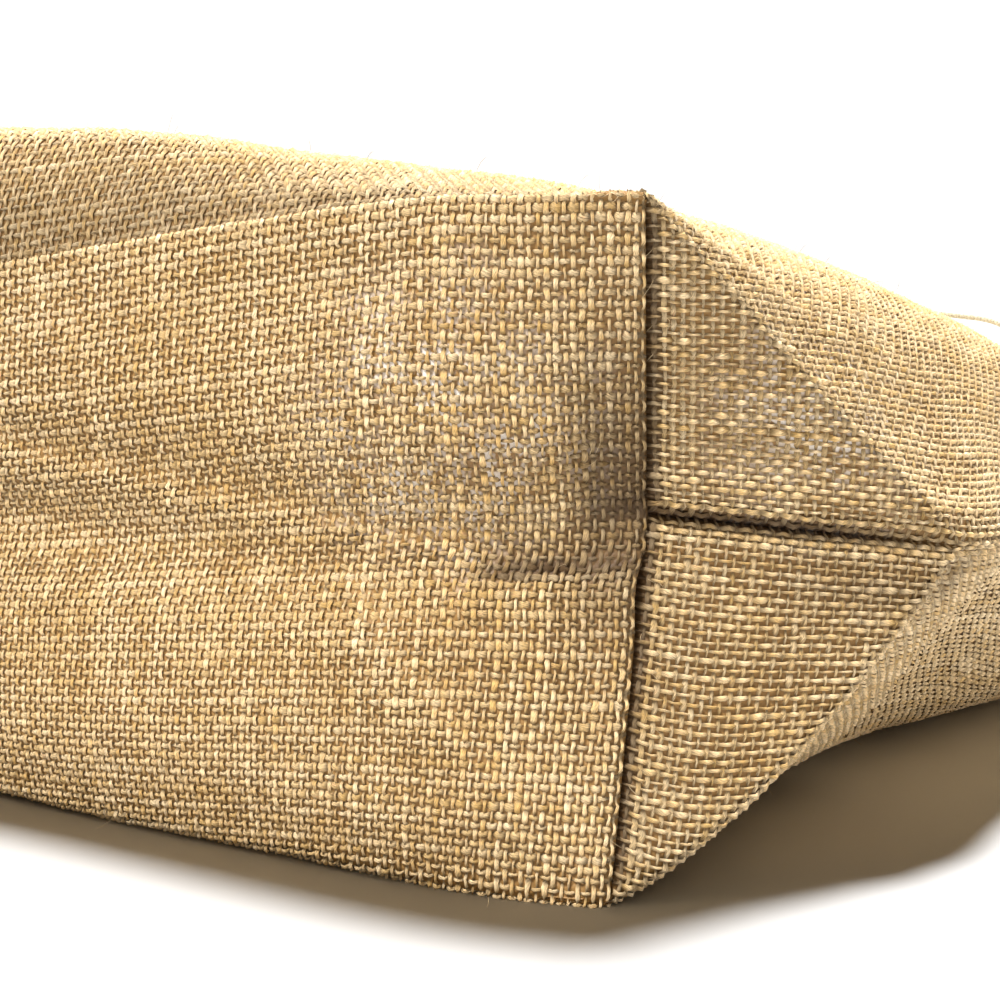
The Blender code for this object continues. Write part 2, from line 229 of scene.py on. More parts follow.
# How far the cloth has slid down over the base, by distance from a box corner, and how much of that
# is left along the cloth, where 0 to 1 is the base and the front panel is below 0
Slide = namedtuple("Slide", "inset shift")
SLIDES = (
    Slide(0.00, 0.000),
    Slide(0.15, 0.002),
    Slide(0.30, 0.009),
    Slide(1.00, 0.117),
    Slide(1.35, 0.135),
    Slide(1.80, 0.040),
    Slide(2.00, 0.000),
)
Fade = namedtuple("Fade", "along share")
SLIDE_FADE = (
    Fade(-1.60, 0.0),
    Fade(-0.60, 0.6),
    Fade(0.00, 1.0),
    Fade(1.00, 0.7),
    Fade(1.60, 0.3),
    Fade(2.40, 0.0),
)

# Right half of the front handle's free part, from its tab to its middle: metres and degrees
HandlePoint = namedtuple("HandlePoint", "out back high turn tilt")
FRONT_HANDLE = (
    HandlePoint(0.1000, 0.0000, 0.0000, 0, 0),
    HandlePoint(0.1015, 0.0120, -0.0005, 6, 0),
    HandlePoint(0.1065, 0.0230, 0.0090, 28, 0),
    HandlePoint(0.1150, 0.0300, 0.0250, 58, 0),
    HandlePoint(0.1195, 0.0340, 0.0410, 78, 2),
    HandlePoint(0.1120, 0.0360, 0.0535, 88, 4),
    HandlePoint(0.0880, 0.0365, 0.0575, 90, 5),
    HandlePoint(0.0480, 0.0370, 0.0610, 90, 5),
    HandlePoint(0.0000, 0.0370, 0.0650, 90, 5),
)
BACK_HANDLE_LIMB = 0.035        # straight part of the back handle beyond the mouth
BACK_HANDLE_END = 0.085         # and how far its curve reaches beyond that


# ---------------------------------------------------------------- settings

class ClothSettings(bpy.types.PropertyGroup):
    warp_width: FloatProperty(
        name="Warp Width", description="Width of a lengthwise yarn", default=0.00086, unit="LENGTH")
    weft_width: FloatProperty(
        name="Weft Width", description="Width of a crosswise yarn", default=0.00100, unit="LENGTH")
    yarn_rise: FloatProperty(
        name="Yarn Rise", description="Height of a yarn over its middle", default=0.00044,
        unit="LENGTH")
    crimp: FloatProperty(
        name="Crimp", description="How far a yarn waves over and under the others", default=0.00034,
        unit="LENGTH")
    warp_proud: FloatProperty(
        name="Warp Proud", description="How far the lengthwise yarns stand out over the crosswise ones",
        default=0.00010, unit="LENGTH")
    unevenness: FloatProperty(
        name="Unevenness", description="Spread of the yarns' widths", default=0.34, subtype="FACTOR")
    straw: FloatVectorProperty(
        name="Straw", description="Colour of the pale yarns", default=(0.93, 0.71, 0.42),
        subtype="COLOR", size=3)
    tan: FloatVectorProperty(
        name="Tan", description="Colour of the dark yarns", default=(0.68, 0.43, 0.155),
        subtype="COLOR", size=3)
    film: FloatVectorProperty(
        name="Film", description="Colour of the film between the yarns", default=(0.33, 0.18, 0.052),
        subtype="COLOR", size=3)


class HandleSettings(bpy.types.PropertyGroup):
    width: FloatProperty(
        name="Width", description="Width of the webbing", default=0.026, unit="LENGTH")
    cotton: FloatVectorProperty(
        name="Cotton", description="Colour of the webbing", default=(0.93, 0.89, 0.72), subtype="COLOR",
        size=3)
    stitch_length: FloatProperty(
        name="Stitch Length", description="Length of a stitch", default=0.0034, unit="LENGTH")


class FibreSettings(bpy.types.PropertyGroup):
    count: IntProperty(name="Count", description="Number of stray fibres", default=1500, min=0)
    length: FloatProperty(
        name="Length", description="Longest stray fibre", default=0.0065, unit="LENGTH")


class StageSettings(bpy.types.PropertyGroup):
    key: FloatProperty(name="Key", description="Strength of the light overhead", default=5.1)
    rake: FloatProperty(name="Rake", description="Strength of the light from above in front",
                        default=5.0)
    fill: FloatProperty(name="Fill", description="Strength of the low light in front", default=3.0,
                        unit="POWER")
    sky: FloatProperty(name="Sky", description="Strength of the light from all around", default=0.08)
    side: FloatProperty(name="Side", description="Strength of the low light on the right", default=4.0,
                        unit="POWER")
    floor: FloatVectorProperty(
        name="Floor", description="Colour of the floor", default=(0.78, 0.78, 0.78), subtype="COLOR",
        size=3)


# ---------------------------------------------------------------- form of the bag

def ramp(values, start, reach):
    """0 up to the start and 1 from the end of the reach on; a negative reach ramps the other way."""
    return np.clip((values - start) / reach, 0, 1)


def eased(share):
    return share**2 * (3 - 2 * share)


def beside(distance, reach):
    """1 at a distance of 0, fading smoothly over the reach."""
    return np.exp(-(distance / reach)**2)


def swell(shape, distance):
    return shape.height * beside(distance - shape.at, shape.reach)


def unit(vectors):
    return vectors / np.maximum(np.linalg.norm(vectors, axis=-1, keepdims=True), 1e-12)


def smooth(rows, keys, name):
    """Values of a table's column at the keys, on a smooth curve through its rows."""
    at = np.array([row[0] for row in rows])
    values = np.array([getattr(row, name) for row in rows])
    last = len(rows) - 1
    ends = [(max(0, k - 1), min(last, k + 1)) for k in range(last + 1)]
    slopes = np.array([(values[b] - values[a]) / (at[b] - at[a]) for a, b in ends])
    place = np.clip(np.searchsorted(at, keys, side="right") - 1, 0, last - 1)
    span = at[place + 1] - at[place]
    f = ramp(keys, at[place], span)
    start = (2 * f**3 - 3 * f**2 + 1) * values[place] + (f**3 - 2 * f**2 + f) * span * slopes[place]
    end = (3 * f**2 - 2 * f**3) * values[place + 1] + (f**3 - f**2) * span * slopes[place + 1]
    return start + end


def line_points(rows, ups):
    out, back, high = (smooth(rows, ups, name) for name in ("out", "back", "high"))
    return np.stack([HALF_WIDTH + out, back, np.maximum(0, high)], -1)


def mirrored(points):
    return points * np.array((-1.0, 1.0, 1.0))


def lerp(start, end, share):
    return start + (end - start) * share[..., None]


def seam_points(ups):
    """Side seam: straight between the corner folds, curved after them."""
    straight = lerp(line_points(SIDE_SEAM, 0 * ups), line_points(SIDE_SEAM, 0 * ups + APEX), ups / APEX)
    return np.where((ups < APEX)[..., None], straight, line_points(SIDE_SEAM, ups))


def fold_points(ups, above):
    """Corner fold, from the box corner to the apex on the side seam."""
    corner = line_points(SHOULDER if above else FOOT, 0 * ups)
    share = ramp(ups, 0, APEX)
    points = lerp(corner, line_points(SIDE_SEAM, 0 * ups + APEX), share)
    if not above:
        points[..., 2] = np.maximum(0, points[..., 2] - LOWER_FOLD_SAG * np.sin(math.pi * share))
    return points


def rounded(route, share, rounding):
    """Points at a share of a route's length, with the route's corners rounded off."""
    lengths = [np.linalg.norm(end - start, axis=-1) for start, end in zip(route, route[1:])]
    total = sum(lengths)
    middle = share * total
    reach = np.minimum(np.minimum(rounding, middle), total - middle)
    steps = range(-ROUNDING_SAMPLES, ROUNDING_SAMPLES + 1)
    whole = 0
    for step in steps:
        left = middle + reach * step / ROUNDING_SAMPLES
        point = route[0].copy()
        for start, end, length in zip(route, route[1:], lengths):
            point += (end - start) * ramp(left, 0, np.maximum(length, 1e-9))[..., None]
            left = left - length
        whole = whole + point
    return whole / len(steps)


def panel_points(arounds, ups, above):
    """Points of the front panel (above) or the back panel, in base depths, not yet skewed."""
    arounds, ups = np.broadcast_arrays(np.asarray(arounds, float), np.asarray(ups, float))
    edge = np.maximum(0, APEX - ups)
    side = np.minimum(arounds, AROUND - arounds)
    start = np.where((edge > 0)[..., None], fold_points(ups, above), seam_points(ups))
    bend = line_points(SHOULDER if above else FOOT, ups)
    middle = line_points(CROWN if above else KEEL, ups)
    share = ramp(arounds, edge, AROUND - 2 * edge)
    middle_rounding, side_rounding = ROUNDING[above]
    rounding = side_rounding + (middle_rounding - side_rounding) * (1 - abs(2 * share - 1))**2
    points = rounded([start, bend, middle, mirrored(bend), mirrored(start)], share, rounding)
    across = np.minimum(1, abs(points[..., 0]) / HALF_WIDTH)
    points[..., 1] -= BASE_BOW * (1 - across**BOW_POWER) * np.exp(-ups / BOW_REACH)
    corner = lerp(seam_points(ups), start, ramp(side, 0, np.maximum(edge, 1e-9)))
    corner = np.where((arounds < AROUND / 2)[..., None], corner, mirrored(corner))
    return np.where((side < edge)[..., None], corner, points)


def base_points(across, highs):
    """Points of the base: across runs from -1 to 1 and high from 0 to 1."""
    across, highs = np.broadcast_arrays(np.asarray(across, float), np.asarray(highs, float))
    arounds = APEX + HALF_WIDTH * (1 - across)
    points = lerp(*(panel_points(arounds, 0 * highs, above) for above in (False, True)), highs)
    inset = HALF_WIDTH * (1 - abs(across))
    near = np.maximum(0, 1 - inset / DENT_REACH)**2
    low, high = line_points(FOOT, 0 * highs), line_points(SHOULDER, 0 * highs)
    corner = np.where((highs > 0.5)[..., None], high, low)
    shift = lerp(seam_points(0 * highs), corner, abs(2 * highs - 1)) - lerp(low, high, highs)
    shift = np.where((across > 0)[..., None], shift, mirrored(shift))
    points = points + shift * near[..., None]
    points[..., 1] += (1 - near) * smooth(BASE_RELIEF, highs, "inwards")
    for crease in BASE_CREASES:
        points[..., 1] += crease_depth(crease, across, points[..., 2])
    return points


def crease_depth(crease, across, highs):
    """Depth of a crease: sharp just above its line, fading slowly over it, with a lip below it."""
    start, end = np.array(crease.start), np.array(crease.end)
    run = (end - start) * (HALF_WIDTH, 1)
    length = np.linalg.norm(run)
    x, z = (across - start[0]) * HALF_WIDTH, highs - start[1]
    along = (x * run[0] + z * run[1]) / length**2
    off = (z * abs(run[0]) - x * run[1] * np.sign(run[0])) / length
    fade = ramp(along * length, -CREASE_START, CREASE_START)
    fade = fade * eased(ramp(along, CREASE_END, -CREASE_FADE))
    above = np.maximum(off, 0)
    trough = (1 - np.exp(-above / CREASE_SHARPNESS)) * np.exp(-above / crease.spread)
    apart, reach = (share * crease.spread for share in CREASE_LIP)
    return fade * (CREASE_STRENGTH * crease.inwards * trough - crease.lip * beside(off + apart, reach))


def placed(points):
    """Skews the bag towards its right, and turns base depths into metres in the frame."""
    x = points[..., 0] + SKEW * points[..., 1]
    points = np.stack([x, points[..., 1], points[..., 2]], -1) * BASE_DEPTH
    return points + np.array((*BASE_MIDDLE, 0.0))


def waviness(points, size, seed):
    """Smooth unevenness between -1 and 1 with features of about a size, from a few crossing waves."""
    picker = np.random.default_rng(seed)
    total = 0
    for _ in range(WAVES_CROSSING):
        way = unit(picker.normal(size=3))
        length = size * picker.uniform(0.7, 1.8)
        total = total + np.sin(points @ way * 2 * math.pi / length + picker.uniform(0, 2 * math.pi))
    return total / 5


def uneven(points, waves):
    """Depths of several sizes of waves together, in metres."""
    return sum(wave.height * waviness(points, wave.size, wave.seed) for wave in waves)


def across_and_along(points):
    """Unit steps along the columns and the rows of a grid of points."""
    return [unit(np.gradient(points, axis=axis)) for axis in (1, 0)]


class Patch:
    """A grid of cloth: points of its outer face and outward directions, by row and column."""

    def __init__(self, points, outward, columns, rows, lengths, widths):
        self.points, self.outward = points, outward
        self.columns, self.rows = columns, rows         # thread numbers; None on an edge
        self.lengths, self.widths = lengths, widths     # metres along the warp and along the weft
        self.dark = np.zeros(points.shape[:2])          # painted shade at each crossing, in seams, folds and hollows
        self.turn()

    def turn(self):
        columns, rows = across_and_along(self.points)
        self.normals = unit(np.cross(columns, rows) * self.outward)

    def rows_of(self, start, end):
        """The part of the patch between two of its rows, with both of them."""
        part = Patch(self.points[start:end + 1], self.outward, self.columns, self.rows[start:end + 1],
                     self.lengths[start:end + 1], self.widths)
        part.normals, part.dark = self.normals[start:end + 1], self.dark[start:end + 1]
        return part

    def press(self, depths):
        """Moves the cloth outwards by the depths in metres, but never into the floor."""
        self.points = self.points + self.normals * depths[..., None]
        self.points[..., 2] = np.maximum(self.points[..., 2], 0)
        self.turn()


def lengths_along(points):
    """Distance along each row of points."""
    steps = np.linalg.norm(np.diff(points, axis=1), axis=-1)
    return np.concatenate([np.zeros((len(points), 1)), np.cumsum(steps, axis=1)], 1)


def picked(points, distances, wanted):
    """Points at the wanted distances along each row."""
    rows = [np.stack([np.interp(want, at, row[:, axis]) for axis in range(3)], -1)
            for row, at, want in zip(points, distances, wanted)]
    return np.array(rows)


_forms = {}


def softened(points, edges, inset):
    """Rounds the cloth where it turns over the base's long edges, less so near the box corners."""
    calm = ramp(inset, 0.05, 0.5)[:, None, None]
    places = np.arange(points.shape[1])
    for edge, reach in zip(edges, EDGE_ROUNDING):
        near = beside(places - edge, reach)[None, :, None]
        for _ in range(reach * reach // 4):
            middle = points.copy()
            middle[:, 1:-1] = (points[:, :-2] + points[:, 2:]) / 2
            points = points + (middle - points) * near * calm
    return points


def whole_form():
    """The form at half pitches, worked out once: points by column and row, and the base's columns."""
    if not _forms:
        halves = np.linspace(0, AROUND, 2 * WARPS + 1)
        ups, highs = np.linspace(0, MOUTH, 2 * PANEL_WEFTS + 1), np.linspace(1, 0, 2 * BASE_WEFTS + 1)
        middle = slice(2 * CORNER_WARPS, 2 * (WARPS - CORNER_WARPS) + 1)
        across = 1 - (halves[middle] - APEX) / HALF_WIDTH
        for name, above in (("front", True), ("back", False)):
            _forms[name] = placed(panel_points(halves[None, :], ups[:, None], above)).swapaxes(0, 1)
        _forms["base"] = placed(base_points(across[None, :], highs[:, None])).swapaxes(0, 1)
        _forms["middle"], _forms["inset"] = middle, halves[middle] - APEX
    return _forms


def evenly_up(name, alongs):
    """Rows of the form at places along the cloth, with even steps up it and the slide over the base.

    "alongs" is measured on the cloth from the front base edge: below 0 on the front panel, 0 to 1 on
    the base and above 1 on the back panel.
    """
    forms = whole_form()
    front, back, base = (forms[key] for key in ("front", "back", "base"))
    middle, inset = forms["middle"], forms["inset"]
    whole = np.concatenate([front[middle, :0:-1], base, back[middle, 1:]], 1)
    stops = [0, front.shape[1] - 1, front.shape[1] + base.shape[1] - 2, whole.shape[1] - 1]
    whole = softened(whole, stops[1:3], np.minimum(inset, AROUND - 2 * APEX - inset))
    at = lengths_along(whole)
    slide = smooth(SLIDES, inset, "shift")[:, None] * smooth(SLIDE_FADE, alongs, "share")[None, :]
    wanted = [np.interp(row, (-MOUTH, 0, 1, 1 + MOUTH), distance[stops])
              for row, distance in zip(alongs[None, :] + slide, at)]
    inner = picked(whole, at, wanted)
    if name == "base":
        return inner.swapaxes(0, 1)
    panel = forms[name]
    at = lengths_along(panel)
    up = -alongs if name == "front" else alongs - 1
    outer = picked(panel, at, [up / MOUTH * distance[-1] for distance in at])
    outer[middle] = inner
    return outer.swapaxes(0, 1)


def evenly_around(points, places, corners, share):
    """Picks places along each row: even between the corners (share 0) or over all of it (share 1)."""
    at = lengths_along(points)
    ends = [0, *corners, points.shape[1] - 1]
    halves = np.array(ends) * AROUND / (2 * WARPS)
    wanted = []
    for distance, part in zip(at, np.broadcast_to(share, len(points))):
        pieces = np.interp(places, halves, distance[ends])
        wanted.append(pieces + (places / halves[-1] * distance[-1] - pieces) * part)
    return picked(points, at, wanted)


def panel_patch(above):
    """The front panel (above) or the back panel, from the base edge to the mouth."""
    columns = [None, *range(WARPS), None]
    numbers = np.arange(PANEL_WEFTS)
    rows = [None, *(-1 - numbers if above else BASE_WEFTS + numbers), None]
    arounds = np.array([0.0, *((np.arange(WARPS) + 0.5) * WARP_PITCH), AROUND])
    arounds[1] *= 0.5 if above else 0.9     # the outermost warps lie closer to the side seam
    arounds[-2] = AROUND - arounds[1]
    ups = np.array([0.0, *((numbers + 0.5) * WEFT_PITCH), MOUTH])
    alongs = -ups if above else 1 + ups
    points = evenly_up("front" if above else "back", alongs)
    corners = (2 * CORNER_WARPS, 2 * (WARPS - CORNER_WARPS))
    points = evenly_around(points, arounds, corners, eased(ramp(ups, 0, 0.6)))
    patch = Patch(points, -1 if above else 1, columns, rows, alongs * BASE_DEPTH, arounds * BASE_DEPTH)
    side = np.minimum(arounds, AROUND - arounds)[None, :] + 0 * ups[:, None]
    up = ups[:, None] + 0 * side
    depth = off_edges(side, up, 0.06) * uneven(points, PANEL_WAVES[above])
    if above:
        inset = arounds[None, :] - APEX
        depth += sum(swell(shape, inset) for shape in CROWN_SWELLS) * swell(CROWN_ROW, up)
        depth += swell(SIDE_SWELL, side) * ramp(up, 0.75, -0.3)
    patch.press(depth)
    turn_in_panel(patch, side, up, above)
    patch.turn()
    patch.normals[:, 0], patch.normals[:, -1] = (1, 0, 0), (-1, 0, 0)
    edge = np.array((0.6, -0.8, 0.0))
    patch.normals[0, :CORNER_WARPS + 1] = edge
    patch.normals[0, -CORNER_WARPS - 1:] = edge * (-1, 1, 1)
    return patch


def off_edges(first, second, reach):
    """0 on either edge and 1 away from both."""
    return (1 - beside(first, reach)) * (1 - beside(second, reach))


def turn_in_panel(patch, side, up, above):
    """Turns a panel in at its side seams and corner seams, and paints shade in them, by the base's
    upper edge and under the lower corner fold.
    """
    leaning = np.where(patch.widths < AROUND * BASE_DEPTH / 2, -1.0, 1.0)[None, :]
    valley, ridge = SIDE_SEAM_DEPTH
    seam = ramp(up, APEX + 0.06, -0.30)     # 1 where the side seam is a valley, between the folds
    inwards = (ridge + (valley - ridge) * seam) * beside(side, SIDE_REACH)
    if above:
        inwards -= seam * swell(SIDE_DIP, side)
    corner = beside(up, CORNER_REACH) * ramp(side, APEX, -0.08)
    patch.points[..., 0] += leaning * (inwards * (1 - 0.4 * seam) + CORNER_SEAM[0] * corner)
    patch.points[..., 1] += 0.8 * inwards * seam + CORNER_SEAM[1] * corner
    patch.points[..., 2] -= 0.0006 * seam * beside(side, 0.03 if above else 0.012)
    # painted shade: in the corner and side seams, and on the front panel by the base's upper edge or on
    # the back panel under the lower corner fold
    patch.dark = np.maximum(swell(CORNER_PAINTED_SHADE, up) * ramp(side, APEX, -0.05),
                            swell(SIDE_PAINTED_SHADE, side) * seam)
    if above:
        patch.dark += swell(EDGE_PAINTED_SHADE, up) * ramp(side, APEX, 0.2)
    else:
        patch.dark += swell(UNDER_FOLD_PAINTED_SHADE, side) * ramp(up, 0.12, 0.2) * (up < 0.55)
    patch.dark = np.clip(patch.dark, 0, 1)


def base_patch():
    """The base, from its upper edge to its lower one."""
    warps = np.arange(CORNER_WARPS, WARPS - CORNER_WARPS)
    columns = [None, *warps, None]
    rows = [None, *range(BASE_WEFTS), None]
    arounds = np.array([APEX, *((warps + 0.5) * WARP_PITCH), AROUND - APEX])
    across = 1 - (arounds - APEX) / HALF_WIDTH
    alongs = np.array([0.0, *((np.arange(BASE_WEFTS) + 0.5) / BASE_WEFTS), 1.0])
    alongs[-3:-1] += LAST_WEFTS_DOWN
    points = evenly_around(evenly_up("base", alongs), arounds - APEX, (), 0)
    patch = Patch(points, 1, columns, rows, alongs * BASE_DEPTH, arounds * BASE_DEPTH)
    inset = (HALF_WIDTH * (1 - abs(across)))[None, :] + 0 * alongs[:, None]
    edge = np.minimum(alongs, 1 - alongs)[:, None] + 0 * inset
    middle = swell(HALF_HEIGHT, alongs)[:, None]
    depth = off_edges(inset, edge, 0.08) * uneven(points, BASE_WAVES)
    depth += swell(CORNER_SWELL, inset) - middle * swell(CORNER_DIP, inset)
    patch.press(depth)
    corner = BASE_SEAM * beside(inset, BASE_REACH)
    patch.points[..., 0] += np.where(across > 0, -1.0, 1.0)[None, :] * corner
    patch.points[..., 1] += corner
    patch.dark = base_painted_shade(patch, across, inset, middle)
    patch.turn()
    patch.normals[:, 0], patch.normals[:, -1] = (0.6, -0.8, 0), (-0.6, -0.8, 0)
    for row, rise in ((0, 0.7), (-1, -0.7)):
        patch.normals[row, 0], patch.normals[row, -1] = (0.42, -0.57, rise), (-0.42, -0.57, rise)
    return patch


def base_painted_shade(patch, across, inset, middle):
    """Painted shade on the base: in its dip behind the corner seam and around its first crease."""
    dip = middle * swell(DIP_PAINTED_SHADE, np.maximum(0, inset - CORNER_DIP.at))
    line = BASE_CREASES[0]
    share = ramp(inset, 0, 1 - line.end[0])
    level = line.start[1] + (line.end[1] - line.start[1]) * share + 0.006
    high = patch.points[..., 2] / BASE_DEPTH - level
    fold = np.where(high > 0, np.exp(-high / FOLD_ABOVE), beside(high, FOLD_BELOW))
    ends = ramp(inset, 1.05 - line.end[0], -0.06) * (across > 0)
    dark = np.maximum(dip, FOLD_PAINTED_SHADE * fold * ends)
    for shade in CREASE_PAINTED_SHADES:
        dark += (shade.share * ends * beside(high - shade.high, shade.high_reach)
                 * beside(inset - shade.inset, shade.inset_reach))
    return dark


# ---------------------------------------------------------------- the cloth, worked out once

_patches = {}


def hem_patch(panel):
    """The cloth that is turned in at the mouth, from the panel's last row over the edge and down."""
    turn = HEM_DEPTH / 2
    edge, out = panel.points[-1], panel.normals[-1]
    beyond = unit(panel.points[-1] - panel.points[-2])
    places, normals = [edge], [out]
    for angle in np.radians((60, 120)):
        way = out * math.cos(angle) + beyond * math.sin(angle)
        places.append(edge - out * turn + way * turn)
        normals.append(way)
    inner = range(1, HEM_WEFTS + 2)
    places += [panel.points[-1 - k] - panel.normals[-1 - k] * HEM_DEPTH for k in inner]
    normals += [-panel.normals[-1 - k] for k in inner]
    step = 1 if panel.rows[-2] > 0 else -1
    rows = [None, None, None, *(panel.rows[-2] + step * k for k in range(1, HEM_WEFTS + 1)), None]
    lengths = np.arange(len(places)) * 0.002
    patch = Patch(np.array(places), 1, panel.columns, rows, lengths, panel.widths)
    patch.normals = np.array(normals)
    return patch


def patches():
    """The patches of cloth, with the same place and direction along the edges that they share."""
    if not _patches:
        base, front, back = base_patch(), panel_patch(True), panel_patch(False)
        for patch in (base, front, back):
            patch.points = patch.points - patch.normals * THREAD_DEPTH
        base.points[-2:, :, 2] -= 0.0003
        base.points[0, (0, 1, -2, -1), 2] -= 0.0005
        columns = slice(CORNER_WARPS + 1, WARPS - CORNER_WARPS + 1)
        for panel, row in ((front, 0), (back, -1)):
            place = (panel.points[0, columns] + base.points[row, 1:-1]) / 2
            normal = unit(panel.normals[0, columns] + base.normals[row, 1:-1])
            panel.points[0, columns] = base.points[row, 1:-1] = place
            panel.normals[0, columns] = base.normals[row, 1:-1] = normal
        _patches.update(base=base, front=front, back=back)
        _patches.update(front_hem=hem_patch(front), back_hem=hem_patch(back))
    return _patches


# ---------------------------------------------------------------- meshes

def new_piece(name, mesh, finish, node=None):
    piece = bpy.data.objects.new(name, mesh)
    mesh.materials.append(finish)
    bpy.context.scene.collection.objects.link(piece)
    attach(piece, "root")
    if node:
        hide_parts(node)
    return piece


def mesh_from(bm, name):
    mesh = bpy.data.meshes.new(name)
    bm.to_mesh(mesh)
    bm.free()
    return mesh


def closed(mesh, distance):
    """Joins the points that lie closer than the distance, and closes the open ends."""
    bm = bmesh.new()
    bm.from_mesh(mesh)
    bmesh.ops.remove_doubles(bm, verts=bm.verts, dist=distance)
    bmesh.ops.holes_fill(bm, edges=[edge for edge in bm.edges if edge.is_boundary], sides=0)
    bmesh.ops.recalc_face_normals(bm, faces=bm.faces)
    bm.to_mesh(mesh)
    bm.free()
    return mesh


def grid_mesh(name, points, gap=0):
    """Smooth mesh over rows and columns of points; each gap-th row of faces is left out."""
    rows, columns = points.shape[:2]
    bm = bmesh.new()
    bmesh.ops.create_grid(bm, x_segments=columns - 1, y_segments=rows - 1, size=1)
    if gap:
        bm.faces.ensure_lookup_table()
        between = [bm.faces[k] for k in range(len(bm.faces)) if (k // (columns - 1)) % gap == gap - 1]
        bmesh.ops.delete(bm, geom=between, context="FACES_KEEP_BOUNDARY")
    mesh = mesh_from(bm, name)
    mesh.vertices.foreach_set("co", points.ravel())
    mesh.polygons.foreach_set("use_smooth", np.ones(len(mesh.polygons), bool))
    mesh.update()
    return mesh


def give_uv(mesh, name, u, v):
    """A UV map from one pair of values for each vertex."""
    corner = np.empty(len(mesh.loops), np.int32)
    mesh.loops.foreach_get("vertex_index", corner)
    layer = mesh.uv_layers.new(name=name)
    layer.data.foreach_set("uv", np.stack([u.ravel()[corner], v.ravel()[corner]], -1).ravel())


def give_values(mesh, name, values):
    mesh.attributes.new(name, "FLOAT", "POINT").data.foreach_set("value", values.ravel())


# How the yarns vary: shares of a yarn's own width or height, and sizes in metres
CROSSING_SPREAD = 0.24          # of how far it stands out at a crossing
FINE_STATION = 0.27             # of the way to the next crossing, where a fine yarn has its stations
WIDTH_SPREAD = 0.55             # from yarn to yarn
WIDTH_NOISE = 0.13              # from station to station
WIDTH_WANDER, WIDTH_WAVE = 0.8, 0.018
WIDTH_RANGE = (0.55, 1.75)
SLUB, SLUB_REACH = 0.55, 0.006
SLUB_ROOM = 0.1                 # past a yarn's end, where a slub doesn't show
SWAY, SWAY_WAVE, SWAY_NOISE = 0.00012, 0.03, 0.00007
LEAN = 0.00017                  # of the base's warps, to and fro from one station to the next
SLENDER = 0.22                  # how much slimmer the warps are in the middle of the bag
STOUT = 1.18                    # width of the base's wefts
EDGE_WARP = 0.70                # width of a warp that is sewn into a corner seam
EDGE_CROSSING = -0.9            # how far the base's wefts are pressed down at a corner seam
ROOT_DEPTH = 0.00024            # of a yarn's sides behind its middle
WEFT_RISE = 0.75                # height of a weft to that of a warp
FLAT_WIDENING = 1.35            # of the flat strips
FLOOR_GAP = 0.00002


def doubled(values, share):
    """Two stations for each inner one, a share of the way towards its neighbours."""
    inner = values[:, 1:-1]
    before = inner + (values[:, :-2] - inner) * share
    after = inner + (values[:, 2:] - inner) * share
    pairs = np.stack([before, after], 2)
    pairs = pairs.reshape(values.shape[0], -1, *values.shape[2:])
    return np.concatenate([values[:, :1], pairs, values[:, -1:]], 1)


def wander(lengths, size, picker):
    """Slow unevenness along each thread, between about -1 and 1."""
    total = 0
    for _ in range(3):
        wave = size * picker.uniform(0.6, 2.2, (len(lengths), 1))
        total = total + np.sin(2 * math.pi * (lengths / wave + picker.random((len(lengths), 1))))
    return total / 2


def crossings(numbers, crossed, warp):
    """1 where a thread goes over the one that it crosses, -1 where it goes under, 0 on an edge."""
    over = [[0 if j is None else (1 if (i + j) % 2 == 0 else -1) for j in crossed] for i in numbers]
    return np.array(over, float) * (1 if warp else -1)


def thicknesses(lengths, unevenness, picker):
    """Widths along each thread, around 1, with a thicker slub in some of them."""
    own = picker.normal(0, WIDTH_SPREAD, (len(lengths), 1))
    thickness = 1 + unevenness * (own + WIDTH_WANDER * wander(lengths, WIDTH_WAVE, picker))
    slubs = picker.random((len(lengths), 1)) * 0.5 + lengths.min() - SLUB_ROOM
    slubs = slubs % (lengths.max() - lengths.min() + SLUB_ROOM) + lengths.min()
    thickness += SLUB * beside(lengths - slubs, SLUB_REACH)
    return thickness * picker.normal(1, WIDTH_NOISE, thickness.shape)


def leaning(lengths, inset):
    """Sway of the base's warps to and fro, strongest in the upper middle and reversed low down."""
    down = (lengths - lengths.min()) / (lengths.max() - lengths.min())
    lean = LEAN * np.clip(inset * 2.2 - 0.25, 0, 1)[:, None] * np.clip((0.72 - down) / 0.3, -0.6, 1)
    return lean * np.resize([-1.0, 1.0], lengths.shape[1])


